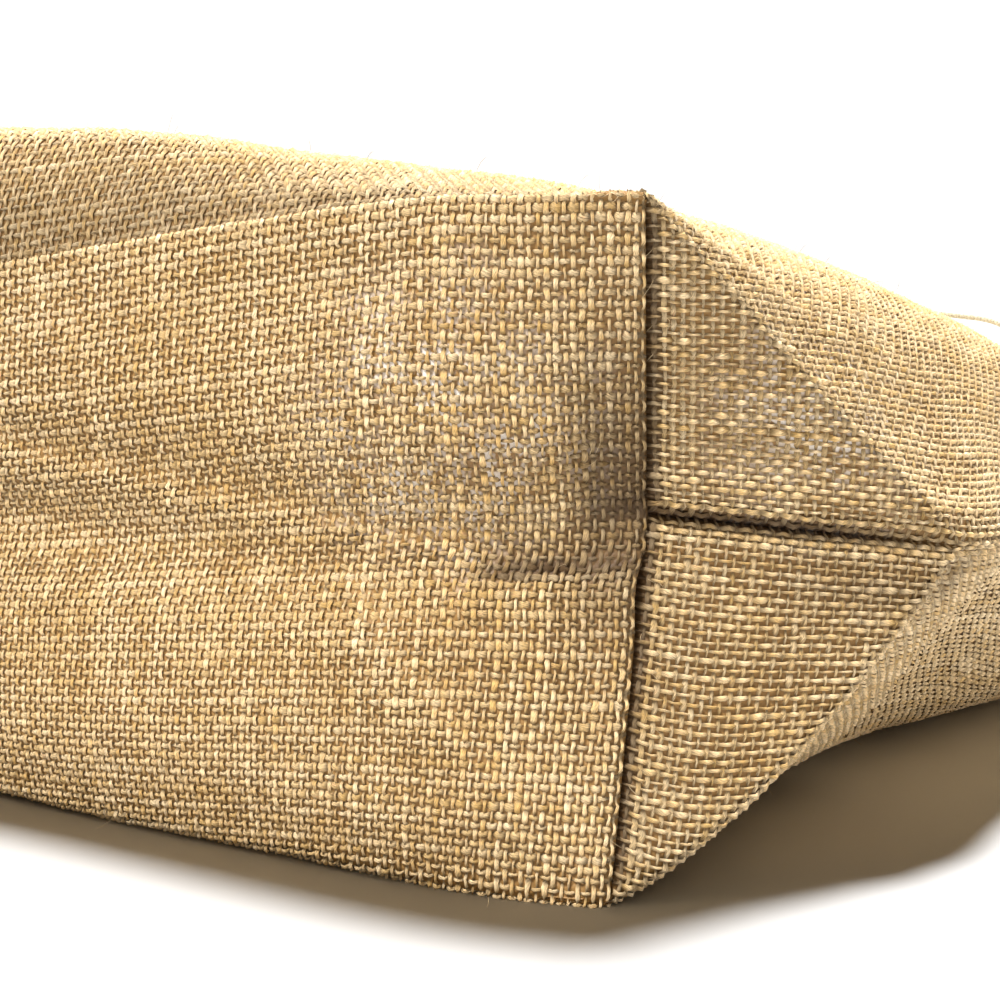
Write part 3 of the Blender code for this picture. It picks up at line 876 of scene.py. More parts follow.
def threads(name, patch, warp, width, settings, seed, fine=False, edged=False, flat=False):
    """All warps or all wefts of a patch, each an open half-tube that goes over and under the others.

    Fine yarns have two stations at each crossing, edged ones end in the corner seams, and flat ones are
    strips.
    """
    picker = np.random.default_rng(seed)
    points, normals, dark = patch.points, patch.normals, patch.dark
    numbers, crossed, lengths = patch.rows, patch.columns, patch.widths
    if warp:
        points, normals, dark = points.swapaxes(0, 1), normals.swapaxes(0, 1), dark.T
        numbers, crossed, lengths = patch.columns, patch.rows, patch.lengths
    kept = [k for k, number in enumerate(numbers) if number is not None]
    points, normals, dark = points[kept], normals[kept], dark[kept]
    numbers = np.array([numbers[k] for k in kept])
    inset = np.minimum(numbers, WARPS - numbers) * WARP_PITCH - APEX
    over = crossings(numbers, crossed, warp)
    if edged and not warp:
        over[:, [0, 1, -2, -1]] = EDGE_CROSSING
    lengths = np.broadcast_to(lengths, over.shape)
    loose = over * picker.normal(1, CROSSING_SPREAD, over.shape)
    if fine:
        points, normals, lengths, dark = (doubled(values, FINE_STATION)
                                          for values in (points, normals, lengths, dark))
        over, loose = doubled(over, 0), doubled(loose, 0)
    side = unit(np.cross(normals, np.gradient(points, axis=1)))
    thickness = thicknesses(lengths, settings.unevenness, picker)
    if edged and warp:
        thickness[[0, -1]] *= EDGE_WARP
    slender = 1 - SLENDER * np.clip(inset, 0, 1)[:, None] if warp else (STOUT if edged else 1)
    thickness = (np.clip(thickness, *WIDTH_RANGE) * slender)[..., None]
    sway = SWAY * wander(lengths, SWAY_WAVE, picker) + picker.normal(0, SWAY_NOISE, lengths.shape)
    if edged and warp and fine:
        sway = sway + leaning(lengths, inset)
    proud = settings.warp_proud * (1 if warp else -1)
    middle = points + normals * (loose * settings.crimp + proud)[..., None] + side * sway[..., None]
    half = side * thickness * width / 2
    drop = normals * ROOT_DEPTH
    rise = normals * settings.yarn_rise * np.sqrt(thickness) * (1 if warp else WEFT_RISE)
    ribbon, across = [middle - half - drop, middle + rise, middle + half - drop], (0.1, 0.5, 0.9)
    if flat:
        half = half * FLAT_WIDENING
        ribbon, across = [middle - half + rise / 3, middle + half + rise / 3], (0.1, 0.9)
    sides = len(across)
    ribbon = np.stack(ribbon, 1).reshape(len(numbers) * sides, -1, 3)
    ribbon[..., 2] = np.maximum(ribbon[..., 2], FLOOR_GAP)
    mesh = grid_mesh(name, ribbon, sides)
    place = numbers[:, None, None] % 512 + np.array(across)[None, :, None] + 0 * lengths[:, None]
    give_uv(mesh, "thread", np.repeat(lengths[:, None], sides, 1), place)
    # lift drives the yarns' painted crest light and hollow shade, dark their painted shade in seams and
    # folds
    for label, values in (("lift", over), ("dark", dark)):
        give_values(mesh, label, np.repeat(values[:, None], sides, 1))
    return mesh


# ---------------------------------------------------------------- materials

RUST = (0.52, 0.27, 0.14)
# Painted shade where a yarn goes under another
YARN_HOLLOW_PAINTED_SHADE = (0.10, 0.055, 0.02)
# Painted shade in seams, folds and hollows, on the yarns and the film
PAINTED_SHADE_COLOUR = (0.055, 0.024, 0.006)
# Painted white glints on the film
PAINTED_GLINT_WHITE = (1.0, 0.92, 0.82)
SEWING_THREAD = (0.72, 0.60, 0.40)
LOOSE_HAIR = (0.62, 0.46, 0.25)
WEFT_BRIGHTNESS = 0.72
WEBBING_PITCH = (0.0014, 0.0013)        # along and across it, in metres
FILM_GLOSS_AND_GLINT_PATCHES = (((0.072, -0.229, 0.100), 0.040), ((0.140, -0.182, 0.103), 0.036))  # places and reaches of the glossy patches with painted glints


def feed(tree, made, inputs):
    """Gives a node's inputs, by name, their values or the sockets that feed them."""
    for name, value in inputs:
        socket = made.inputs[name]
        if isinstance(value, bpy.types.NodeSocket):
            tree.links.new(value, socket)
        else:
            whole = socket.type == "RGBA" and len(value) == 3
            socket.default_value = (*value, 1) if whole else value


def node(tree, kind, inputs=(), **settings):
    made = tree.nodes.new(kind)
    for name, value in settings.items():
        setattr(made, name, value)
    feed(tree, made, inputs)
    return made


def maths(tree, operation, *values):
    return node(tree, "ShaderNodeMath", list(enumerate(values)), operation=operation).outputs[0]


def times(tree, first, *others):
    for other in others:
        first = maths(tree, "MULTIPLY", first, other)
    return first


def plus(tree, first, second):
    return maths(tree, "ADD", first, second)


def spread(tree, value, low, high, to_low=0.0, to_high=1.0):
    """A value mapped from one range to another, and kept inside it."""
    names = ("Value", "From Min", "From Max", "To Min", "To Max")
    return node(tree, "ShaderNodeMapRange", zip(names, (value, low, high, to_low, to_high))).outputs[0]


def blended(tree, share, first, second, blend="MIX"):
    inputs = ((0, share), (6, first), (7, second))      # a Mix node's factor and its two colours
    return node(tree, "ShaderNodeMix", inputs, data_type="RGBA", blend_type=blend).outputs[2]


def noise(tree, vector, scale, detail=2.0, rough=0.5):
    inputs = [("Vector", vector), ("Scale", scale), ("Detail", detail), ("Roughness", rough)]
    return node(tree, "ShaderNodeTexNoise", inputs).outputs["Fac"]


def bump(tree, height, strength, distance, *below):
    """Normal for a height; "below" is the normal that it comes on top of, where there is one."""
    inputs = [("Height", height), ("Strength", strength), ("Distance", distance)]
    inputs += [("Normal", normal) for normal in below]
    return node(tree, "ShaderNodeBump", inputs).outputs[0]


def mesh_value(tree, name):
    return node(tree, "ShaderNodeAttribute", attribute_name=name).outputs["Fac"]


def object_place(tree):
    return node(tree, "ShaderNodeTexCoord").outputs["Object"]


def uv_parts(tree, name):
    uv = node(tree, "ShaderNodeUVMap", uv_map=name).outputs[0]
    return node(tree, "ShaderNodeSeparateXYZ", [("Vector", uv)]).outputs[:2]


def dimmed(color, share):
    return tuple(min(1.0, share * channel) for channel in color)


def group(name, inputs, outputs):
    """An empty node group with its sockets; inputs are name, kind and value, outputs name and kind."""
    tree = bpy.data.node_groups.new(name, "ShaderNodeTree")
    for label, kind, value in inputs:
        tree.interface.new_socket(label, in_out="INPUT", socket_type=kind).default_value = value
    for label, kind in outputs:
        tree.interface.new_socket(label, in_out="OUTPUT", socket_type=kind)
    return tree, tree.nodes.new("NodeGroupInput").outputs, tree.nodes.new("NodeGroupOutput")


def jute_group():
    """Colour and height of one jute yarn: its own tint, fibres along it, painted shade where it goes
    under another yarn and in seams and folds, and painted highlight on its crests.
    """
    if "jute_fibres" in bpy.data.node_groups:
        return bpy.data.node_groups["jute_fibres"]
    color = "NodeSocketColor"
    tree, given, out = group(
        "jute_fibres", [("Straw", color, (1, 1, 1, 1)), ("Tan", color, (1, 1, 1, 1))],
        [("Color", color), ("Height", "NodeSocketFloat")])
    run, place = uv_parts(tree, "thread")
    number = maths(tree, "FLOOR", place)
    own = node(tree, "ShaderNodeTexWhiteNoise", [("W", number)], noise_dimensions="1D").outputs["Value"]
    shift = times(tree, own, 40.0)

    def on_yarn(scale, aside=shift):
        """Place along the yarn at a scale, on a strip of noise of its own."""
        inputs = [("X", times(tree, run, scale)), ("Y", aside)]
        return node(tree, "ShaderNodeCombineXYZ", inputs).outputs[0]

    twist = plus(tree, times(tree, place, 9.0), times(tree, run, 1500.0))
    fine = on_yarn(700.0, plus(tree, shift, twist))
    tint = times(tree, own, 0.45)
    for share, part in ((1.1, noise(tree, on_yarn(90.0), 1.0, 3.0)),
                        (0.5, noise(tree, object_place(tree), 28.0, 3.0)),
                        (1.1, noise(tree, on_yarn(420.0), 1.0, 1.0))):
        tint = plus(tree, tint, times(tree, part, share))
    shade = blended(tree, spread(tree, tint, 1.15, 1.95), given["Tan"], given["Straw"])
    rust = spread(tree, noise(tree, fine, 0.35, 2.0), 0.62, 0.74, 0.0, 0.55)
    shade = blended(tree, rust, shade, RUST)
    streak = noise(tree, fine, 1.0, 2.0, 0.6)
    shade = blended(tree, 1.0, shade, spread(tree, streak, 0.3, 0.7, 0.58, 1.38), "MULTIPLY")
    lift = mesh_value(tree, "lift")
    # painted shade where the yarn goes under another, and painted highlight on its crests
    hollow_painted_shade = times(tree, spread(tree, lift, 0.3, -0.8), 0.5)
    shade = blended(tree, hollow_painted_shade, shade, YARN_HOLLOW_PAINTED_SHADE)
    crest_painted_light = spread(tree, lift, -1.0, 1.0, 0.62, 1.16)
    shade = blended(tree, 1.0, shade, crest_painted_light, "MULTIPLY")
    # painted shade in seams, folds and hollows, from the dark attribute
    shade = blended(tree, mesh_value(tree, "dark"), shade, PAINTED_SHADE_COLOUR)
    feed(tree, out, (("Color", shade), ("Height", streak)))
    return tree


def weave_group():
    """A plain weave for the film and the webbing: hills where threads pass, from the UV map."""
    if "plain_weave" in bpy.data.node_groups:
        return bpy.data.node_groups["plain_weave"]
    number = "NodeSocketFloat"
    tree, given, out = group(
        "plain_weave", [("Along", number, 1.0), ("Across", number, 1.0)],
        [("Height", number), ("Hole", number)])
    u, v = (times(tree, part, given[name])
            for part, name in zip(uv_parts(tree, "cloth"), ("Across", "Along")))
    hills = []
    for first, second in ((u, v), (v, u)):
        ridge = maths(tree, "ABSOLUTE", maths(tree, "SINE", times(tree, first, math.pi)))
        wave = maths(tree, "SINE", times(tree, plus(tree, second, 0.5), math.pi))
        odd = maths(tree, "MODULO", maths(tree, "ABSOLUTE", maths(tree, "FLOOR", first)), 2.0)
        sign = maths(tree, "SUBTRACT", times(tree, odd, 2.0), 1.0)
        hills.append(plus(tree, ridge, times(tree, wave, sign, 0.35)))
    height = maths(tree, "MAXIMUM", *hills)
    feed(tree, out, (("Height", height), ("Hole", spread(tree, height, 0.75, 0.45))))
    return tree


def finish_material(name, color):
    made = bpy.data.materials.new(name)
    made.use_nodes = True
    made.diffuse_color = (*color, 1)
    return made, made.node_tree, made.node_tree.nodes["Principled BSDF"]


def jute_material(name, settings, bright):
    """Dry, hairy jute yarn."""
    made, tree, shader = finish_material(name, settings.straw)
    colors = (("Straw", dimmed(settings.straw, bright)), ("Tan", dimmed(settings.tan, bright)))
    fibres = node(tree, "ShaderNodeGroup", node_tree=jute_group())
    feed(tree, fibres, colors)
    feed(tree, shader, (("Base Color", fibres.outputs["Color"]),
                        ("Normal", bump(tree, fibres.outputs["Height"], 0.9, 0.00032)),
                        ("Roughness", 0.72), ("Specular IOR Level", 0.25),
                        ("Sheen Weight", 0.06), ("Sheen Roughness", 0.5)))
    return made


def woven(tree, along, across):
    """The weave at a pitch along and across the cloth, in metres."""
    weave = node(tree, "ShaderNodeGroup", node_tree=weave_group())
    feed(tree, weave, (("Along", 1 / along), ("Across", 1 / across)))
    return weave


def film_material(settings):
    """Thin film glued behind the yarns: brown where it clings to them and glossy in the gaps, with
    painted shade in seams and folds and painted white glints in two glossy patches.
    """
    made, tree, shader = finish_material("film", settings.film)
    weave = woven(tree, WEFT_PITCH * BASE_DEPTH, WARP_PITCH * BASE_DEPTH)
    object_at = object_place(tree)
    loose = 0.0
    for place, reach in FILM_GLOSS_AND_GLINT_PATCHES:
        away = node(tree, "ShaderNodeVectorMath", [(0, object_at), (1, place)], operation="DISTANCE")
        loose = maths(tree, "MAXIMUM", loose, spread(tree, away.outputs["Value"], reach, 0.3 * reach))
    ragged = spread(tree, noise(tree, object_at, 70.0, 3.0), 0.35, 0.60)
    patch = times(tree, loose, ragged)
    # painted glints: white specks in the glossy patches
    glint_speck = spread(tree, noise(tree, object_at, 420.0, 1.0), 0.44, 0.56)
    # painted shade in seams, folds and hollows, from the dark attribute
    color = blended(tree, mesh_value(tree, "dark"), tuple(settings.film), PAINTED_SHADE_COLOUR)
    color = blended(tree, times(tree, patch, glint_speck, 0.9), color, PAINTED_GLINT_WHITE)
    pressed = bump(tree, weave.outputs["Height"], 0.5, 0.0004)
    crinkled = bump(tree, noise(tree, object_at, 700.0, 2.0), 0.6, 0.0006, pressed)
    feed(tree, shader, (("Base Color", color), ("Normal", crinkled),
                        ("Roughness", spread(tree, patch, 0.0, 1.0, 0.6, 0.24))))
    return made


def webbing_material(settings):
    """Cream cotton webbing in a plain weave, with painted shade in the gaps between its threads."""
    made, tree, shader = finish_material("webbing", settings.cotton)
    weave = woven(tree, *WEBBING_PITCH)
    object_at = object_place(tree)
    wear = spread(tree, noise(tree, object_at, 60.0, 4.0), 0.35, 0.7)
    worn = blended(tree, wear, tuple(settings.cotton), dimmed(settings.cotton, 0.86))
    # painted shade in the gaps between the threads
    color = blended(tree, times(tree, weave.outputs["Hole"], 0.4), worn, dimmed(settings.cotton, 0.6))
    ribbed = bump(tree, weave.outputs["Height"], 0.8, 0.0003)
    hairy = bump(tree, noise(tree, object_at, 2500.0, 2.0), 0.3, 0.0001, ribbed)
    feed(tree, shader, (("Base Color", color), ("Normal", hairy), ("Roughness", 0.85),
                        ("Sheen Weight", 0.2)))
    return made


def plain_material(name, color, roughness, grain=0.0):
    """Material with a faint mottle, for small things and the floor."""
    made, tree, shader = finish_material(name, color)
    mottle = spread(tree, noise(tree, object_place(tree), 300.0, 3.0), 0.3, 0.7, 0, grain)
    mottled = blended(tree, mottle, tuple(color), dimmed(color, 0.5))
    feed(tree, shader, (("Base Color", mottled), ("Roughness", roughness)))
    return made


# ---------------------------------------------------------------- webbing

def cloth_spot(out, up, above):
    """Place on a panel's outer face at a distance "out" from the panel's middle line, in metres."""
    near, far = AROUND / 2, 0.0
    for _ in range(24):
        middle = (near + far) / 2
        if panel_points([middle], [up], above)[0, 0] * BASE_DEPTH < abs(out):
            near = middle
        else:
            far = middle
    point = panel_points([near], [up], above)
    return Vector(placed(point if out > 0 else mirrored(point))[0])


TAB_STATIONS = 4
HANDLE_STATIONS = 19        # of the right half of a handle's free part


def tab_stations(above, side, width):
    """Right (1) or left (-1) tab, from its root to the mouth: (point, way across the webbing)."""
    root = MOUTH - TAB_LENGTH / BASE_DEPTH
    ups = [root + (MOUTH - root) * k / (TAB_STATIONS - 1) for k in range(TAB_STATIONS)]
    inner, outer = ([cloth_spot(side * (HANDLE_SPACING + offset) / 2, up, above) for up in ups]
                    for offset in (-width, width))
    run = (inner[-1] + outer[-1] - inner[0] - outer[0]).normalized()
    across = (outer[-1] - inner[-1]).normalized()
    outwards = across.cross(run) * (side if above else -side)
    lift = outwards * (SEAT_GAP + WEBBING_THICKNESS / 2)
    return [((low + high) / 2 + lift, across) for low, high in zip(inner, outer)]


def flipped(vector):
    return Vector((-vector.x, vector.y, vector.z))


def whole_handle(above, free, width):
    """Stations from the right tab to the left one; "free" is the right half of the free part."""
    right, left = tab_stations(above, 1, width), tab_stations(above, -1, width)
    middle = (right[-1][0] + left[-1][0]) / 2
    right_half = [(middle + point, across) for point, across in free]
    left_half = [(middle + flipped(point), flipped(across)) for point, across in reversed(free[:-1])]
    return right + right_half + left_half + list(reversed(left))


def front_handle_stations(width):
    """Stations of the front handle, which stands in a low arch over the mouth."""
    KeyedPoint = namedtuple("KeyedPoint", "key " + " ".join(HandlePoint._fields))
    keyed = [KeyedPoint(k, *row) for k, row in enumerate(FRONT_HANDLE)]
    keys = np.linspace(0, len(FRONT_HANDLE) - 1, HANDLE_STATIONS)[1:]
    free = []
    for out, back, high, *angles in zip(*(smooth(keyed, keys, name) for name in HandlePoint._fields)):
        turn, tilt = map(math.radians, angles)
        across = (math.cos(turn), math.sin(turn) * math.cos(tilt), math.sin(turn) * math.sin(tilt))
        free.append((Vector((out, back, high)), Vector(across)))
    return whole_handle(True, free, width)


def back_handle_stations(width):
    """Stations of the back handle, which lies on the floor beyond the mouth."""
    free = []
    for step in range(HANDLE_STATIONS):
        angle = math.pi / 2 * step / (HANDLE_STATIONS - 1)
        x = HANDLE_SPACING / 2 * math.cos(angle)
        y = BACK_HANDLE_LIMB + BACK_HANDLE_END * math.sin(angle)
        free.append((Vector((x, y, 0)), Vector((math.cos(angle), math.sin(angle), 0))))
    return whole_handle(False, free, width)


def webbing_frame(stations, refine=3):
    """Points, ways across and face directions of the webbing, at finer stations."""
    rows = np.array([[*point, *across] for point, across in stations])
    last = len(rows) - 1
    fine = []
    for key in np.linspace(0, last, last * refine + 1):
        k = min(last - 1, int(key))
        f = key - k
        p0, p1, p2, p3 = (rows[min(last, max(0, k + d))] for d in (-1, 0, 1, 2))
        bend = 2 * p0 - 5 * p1 + 4 * p2 - p3 + f * (3 * (p1 - p2) + p3 - p0)
        fine.append(p1 + 0.5 * f * (p2 - p0 + f * bend))
    fine = np.array(fine)
    points, across = fine[:, :3], fine[:, 3:]
    run = unit(np.gradient(points, axis=0))
    face = unit(np.cross(run, across))
    return points, np.cross(face, run), face


# Upper half of the webbing's section, with its selvedges, in halves of its width and thickness
WEBBING_TOP = ((-0.96, 1.0), (-0.88, 0.8), (-0.80, 1.0), (-0.4, 1.0), (0.0, 1.0), (0.4, 1.0),
               (0.80, 1.0), (0.88, 0.8), (0.96, 1.0), (1.0, 0.45))
WEBBING_UNDERSIDE = 0.04        # where the lower half's weave starts, in metres around the webbing


def webbing_mesh(name, stations, settings):
    """Flat woven webbing with rounded edges and a selvedge, swept along the stations."""
    points, side, face = webbing_frame(stations)
    half, thick = settings.width / 2, WEBBING_THICKNESS / 2
    section = [*WEBBING_TOP, *((-x, -z) for x, z in WEBBING_TOP), WEBBING_TOP[0]]
    mesh = grid_mesh(name, np.array([points + side * x * half + face * z * thick for x, z in section]))
    run = np.concatenate([[0], np.cumsum(np.linalg.norm(np.diff(points, axis=0), axis=1))])
    girth = np.array([x * half if k < len(WEBBING_TOP) else WEBBING_UNDERSIDE - x * half
                      for k, (x, _) in enumerate(section)])
    girth[-1] = girth[-2] + 0.0008
    shape = (len(section), len(run))
    give_uv(mesh, "cloth", np.broadcast_to(girth[:, None], shape), np.broadcast_to(run, shape))
    return closed(mesh, 0.00001)


# ---------------------------------------------------------------- stitches and fibres

STITCH_RADIUS, STITCH_SIDES, FIBRE_SIDES = 0.0003, 5, 3
STITCH_SHARES = (0.10, 0.22, 0.5, 0.78, 0.90)                   # points of a stitch along its room
STITCH_RISES = (-0.0003, 0.00022, 0.0003, 0.00022, -0.0003)     # and their height over the cloth
STITCH_LIFT = 0.0006            # of the hem's stitches over the cloth's threads
HEM_STITCH_MARGIN = 0.003       # between them and the turned-in edge
TAB_STITCH_INSET = 0.0035       # from the tab's edges
TAB_STITCH_ENDS = (0.004, 0.031)
TUBE_TIP = 0.25                 # radius of a tube's ends to that of the rest


def tube_mesh(name, paths, radii, sides):
    """Thin closed tubes along paths of the same number of points, tapering to their ends."""
    paths = np.asarray(paths, float)
    count, steps = paths.shape[:2]
    run = unit(np.gradient(paths, axis=1))
    first = unit(np.cross(run, np.where(abs(run[..., 2:3]) < 0.9, (0.0, 0.0, 1.0), (1.0, 0.0, 0.0))))
    second = np.cross(run, first)
    taper = np.array([TUBE_TIP, *np.ones(steps - 2), TUBE_TIP])[None, :, None]
    taper = np.asarray(radii).reshape(-1, 1, 1) * taper
    angles = [2 * math.pi * k / sides for k in range(sides)] + [0.0]
    rings = np.stack([paths + (first * math.cos(a) + second * math.sin(a)) * taper for a in angles], 1)
    rings[..., 2] = np.maximum(rings[..., 2], 0.00001)
    mesh = grid_mesh(name, rings.reshape(count * (sides + 1), steps, 3), sides + 1)
    return closed(mesh, 0.000001)


def stitch_paths(route, outward, length):
    """Short humps along a route of points, each going down into the cloth at its ends."""
    at = np.concatenate([[0], np.cumsum(np.linalg.norm(np.diff(route, axis=0), axis=1))])
    count = max(1, int(at[-1] / length))
    paths = []
    for k in range(count):
        shares = (k + np.array(STITCH_SHARES)) / count * at[-1]
        points, normals = (np.stack([np.interp(shares, at, values[:, axis]) for axis in range(3)], -1)
                           for values in (route, outward))
        paths.append(points + normals * np.array(STITCH_RISES)[:, None])
    return paths


def tab_stitches(stations, length, width, above):
    """A box with a cross in it on each of a handle's two tabs."""
    paths = []
    for tab in (stations[:TAB_STATIONS], stations[-TAB_STATIONS:][::-1]):
        root, tip = tab[0][0], tab[-1][0]
        across = tab[-1][1].normalized()
        run = (tip - root).normalized()
        face = across.cross(run)
        if (face.z > 0) != above:
            face = -face
        half = width / 2 - TAB_STITCH_INSET
        near, far = TAB_STITCH_ENDS
        corners = [root + run * r + across * a + face * WEBBING_THICKNESS / 2
                   for r, a in ((near, -half), (near, half), (far, half), (far, -half))]
        for line in ((0, 1, 2, 3, 0, 2), (1, 3)):
            route = np.array([corners[k] for k in line])
            paths += stitch_paths(route, np.repeat([face[:]], len(route), 0), length)
    return paths


def hem_stitches(panel, length, depth):
    """One row of stitches across a panel, a distance below the mouth."""
    row = -2 - round(depth / (WEFT_PITCH * BASE_DEPTH))
    inner = slice(3, -3)
    places = panel.points[row, inner] + panel.normals[row, inner] * STITCH_LIFT
    return stitch_paths(places, panel.normals[row, inner], length)


def stray_fibres(settings, picker):
    """Curved hairs that stand up from the cloth, more of them by the base's edges."""
    paths, radii = [], []
    names, shares, steps = ("base", "front", "back"), (0.4, 0.4, 0.2), 4
    for _ in range(settings.count):
        patch = patches()[names[picker.choice(3, p=shares)]]
        rows, columns = patch.points.shape[:2]
        r, c = picker.integers(1, rows - 1), picker.integers(3, columns - 3)
        if picker.random() < 0.15:
            r = picker.choice((1, 2))
        out = patch.normals[r, c]
        along = unit(patch.points[r, c] - patch.points[r - 1, c - 1])
        length = settings.length * picker.uniform(0.25, 1.0)**1.5
        lean, curl = picker.uniform(-0.9, 0.9), picker.uniform(-1.2, 1.2)
        aside = np.cross(out, along) * 0.3 * curl
        path = [patch.points[r, c] + out * 0.0002]
        for step in range(steps):
            angle = lean + curl * step / (steps - 1)
            way = out * math.cos(angle) * (1 - 0.22 * step) + along * math.sin(angle) + aside
            point = path[-1] + unit(way) * length / steps
            point[2] = max(point[2], 0.0002)
            path.append(point)
        paths.append(path)
        radii.append(picker.uniform(0.000025, 0.00006))
    return paths, radii


# ---------------------------------------------------------------- operators

def settings_of(context, name):
    return getattr(context.scene, "tote_" + name)


def material_once(make, name, *values):
    return bpy.data.materials.get(name) or make(name, *values)


def film_lines(count, every_other, mirrored_too):
    """Thread lines that the film follows: every second one, and every fourth where a panel is calm."""
    if every_other or count < 60:
        return [0, *range(1, count - 1, 2), count - 1]
    near = CORNER_WARPS + 9
    far = count - 1 - near if mirrored_too else count - 1
    return [0, *range(1, near, 2), *range(near, far, 4), *range(far, count - 1, 2), count - 1]


def sew(name, paths):
    """The stitches along the paths, as one piece."""
    mesh = tube_mesh(name, paths, np.full(len(paths), STITCH_RADIUS), STITCH_SIDES)
    thread = material_once(plain_material, "thread", SEWING_THREAD, 0.6, 0.4)
    new_piece(name, mesh, thread)


class WeaveFilm(bpy.types.Operator):
    """Make the film behind the yarns, which is the cloth's own sheet"""
    bl_idname = "tote.film"
    bl_label = "Film"

    def execute(self, context):
        settings = settings_of(context, "cloth")
        bm = bmesh.new()
        for name, patch in patches().items():
            rows, columns = (film_lines(count, name == "base", side)
                             for count, side in zip(patch.points.shape[:2], (False, True)))
            points = (patch.points - patch.normals * FILM_DEPTH)[rows][:, columns]
            widths = patch.widths[columns]
            dark = patch.dark[rows][:, columns]
            if name == "base":
                turned = [points[:, end] - patch.normals[:, end][rows] * SEAM_TURNING
                          for end in (0, -1)]
                points = np.concatenate([turned[0][:, None], points, turned[1][:, None]], 1)
                widths = np.array([widths[0] - SEAM_TURNING, *widths, widths[-1] + SEAM_TURNING])
                dark = np.pad(dark, ((0, 0), (1, 1)), "edge")
            part = grid_mesh(name + "_part", points)
            give_uv(part, "cloth", np.broadcast_to(widths, points.shape[:2]),
                    np.broadcast_to(patch.lengths[rows][:, None], points.shape[:2]))
            give_values(part, "dark", dark)
            if patch.outward < 0:
                part.flip_normals()
            bm.from_mesh(part)
            bpy.data.meshes.remove(part)
        bmesh.ops.remove_doubles(bm, verts=bm.verts, dist=0.00002)
        film = new_piece("film", mesh_from(bm, "film"), film_material(settings), "body")
        shell = film.modifiers.new("thickness", "SOLIDIFY")
        shell.thickness = FILM_THICKNESS
        shell.offset = -1
        return {"FINISHED"}


def weave(context, names, seed, tag="", part=None, **options):
    """Makes the warps and the wefts of patches, or of a part of them between two rows."""
    settings = settings_of(context, "cloth")
    kinds = ((True, "warp", settings.warp_width, 1.0),
             (False, "weft", settings.weft_width, WEFT_BRIGHTNESS))
    for name in names:
        patch = patches()[name].rows_of(*part) if part else patches()[name]
        for warp, kind, width, bright in kinds:
            seed += 1
            yarn = material_once(jute_material, f"jute_{kind}", settings, bright)
            mesh = threads(f"{name}{tag}_{kind}", patch, warp, width, settings, seed, **options)
            new_piece(mesh.name, mesh, yarn)


class WeaveBase(bpy.types.Operator):
    """Weave the yarns of the boxed base"""
    bl_idname = "tote.base"
    bl_label = "Base"

    def execute(self, context):
        weave(context, ("base",), 100, fine=True, edged=True)
        return {"FINISHED"}


class WeavePanels(bpy.types.Operator):
    """Weave the yarns of the front and back panels"""
    bl_idname = "tote.panels"
    bl_label = "Panels"

    def execute(self, context):
        weave(context, ("front",), 200)
        weave(context, ("back",), 220, tag="_near", part=(0, BACK_FLAT_FROM))
        weave(context, ("back",), 240, tag="_far", part=(BACK_FLAT_FROM, PANEL_WEFTS + 1), flat=True)
        return {"FINISHED"}


class WeaveHem(bpy.types.Operator):
    """Weave the cloth that is turned in at the mouth, and stitch it"""
    bl_idname = "tote.hem"
    bl_label = "Hem"

    def execute(self, context):
        weave(context, ("front_hem", "back_hem"), 300)
        length = settings_of(context, "handles").stitch_length
        paths = []
        for name in ("front", "back"):
            paths += hem_stitches(patches()[name], length, HEM_WIDTH - HEM_STITCH_MARGIN)
        sew("hem_stitches", paths)
        return {"FINISHED"}


class MakeHandles(bpy.types.Operator):
    """Make both webbing handles and the stitches on their tabs"""
    bl_idname = "tote.handles"
    bl_label = "Handles"

    def execute(self, context):
        settings = settings_of(context, "handles")
        cotton = webbing_material(settings)
        paths = []
        for name, route, above in (("front", front_handle_stations, True),
                                   ("back", back_handle_stations, False)):
            stations = route(settings.width)
            mesh = webbing_mesh(f"{name}_webbing", stations, settings)
            new_piece(mesh.name, mesh, cotton, f"handle_{name}")
            paths += tab_stitches(stations, settings.stitch_length, settings.width, above)
        sew("tab_stitches", paths)
        return {"FINISHED"}


class ScatterFibres(bpy.types.Operator):
    """Scatter stray jute fibres over the cloth"""
    bl_idname = "tote.fibres"
    bl_label = "Stray Fibres"

    def execute(self, context):
        settings = settings_of(context, "fibres")
        paths, radii = stray_fibres(settings, np.random.default_rng(7))
        mesh = tube_mesh("stray_fibres", paths, radii, FIBRE_SIDES)
        new_piece("stray_fibres", mesh, plain_material("hair", LOOSE_HAIR, 0.6, 0.5))
        return {"FINISHED"}


class DeclareCloth(bpy.types.Operator):
    """Leave the scene as it is: this step does nothing"""
    bl_idname = "tote.declare"
    bl_label = "Declare Cloth"

    def execute(self, context):
        return {"FINISHED"}


CAMERA_PLACE = (0.22785, -0.50650, 0.1334)
CAMERA_RIGHT = (0.891, 0.454, 0.0)
CAMERA_FORWARD = (-0.448, 0.880, -0.156)
CAMERA_LENS = 56.16
KEY_TURN = (95.0, 80.0)         # azimuth from +X towards +Y, and elevation, in degrees
RAKE_TURN = (-103.0, 60.0)
SUN_SOFTNESS = 9.0
FILL_BEAM = ((0.75, -1.45, 0.22), (0.08, -0.2, 0.08))       # from, to
SIDE_BEAM = ((0.85, 0.25, 0.06), (0.2, -0.02, 0.06))
BACKDROP = 1.1                  # brightness of what the camera sees behind the floor
SKY_TINT = (1.0, 0.84, 0.62)


def add_light(name, kind, place, target, energy, **settings):
    lamp = bpy.data.lights.new(name, kind)
    lamp.energy = energy
    for field, value in settings.items():
        setattr(lamp, field, value)
    item = bpy.data.objects.new(name, lamp)
    item.location = place
    item.rotation_euler = (Vector(target) - Vector(place)).to_track_quat("-Z", "Y").to_euler()
    bpy.context.scene.collection.objects.link(item)
    return item


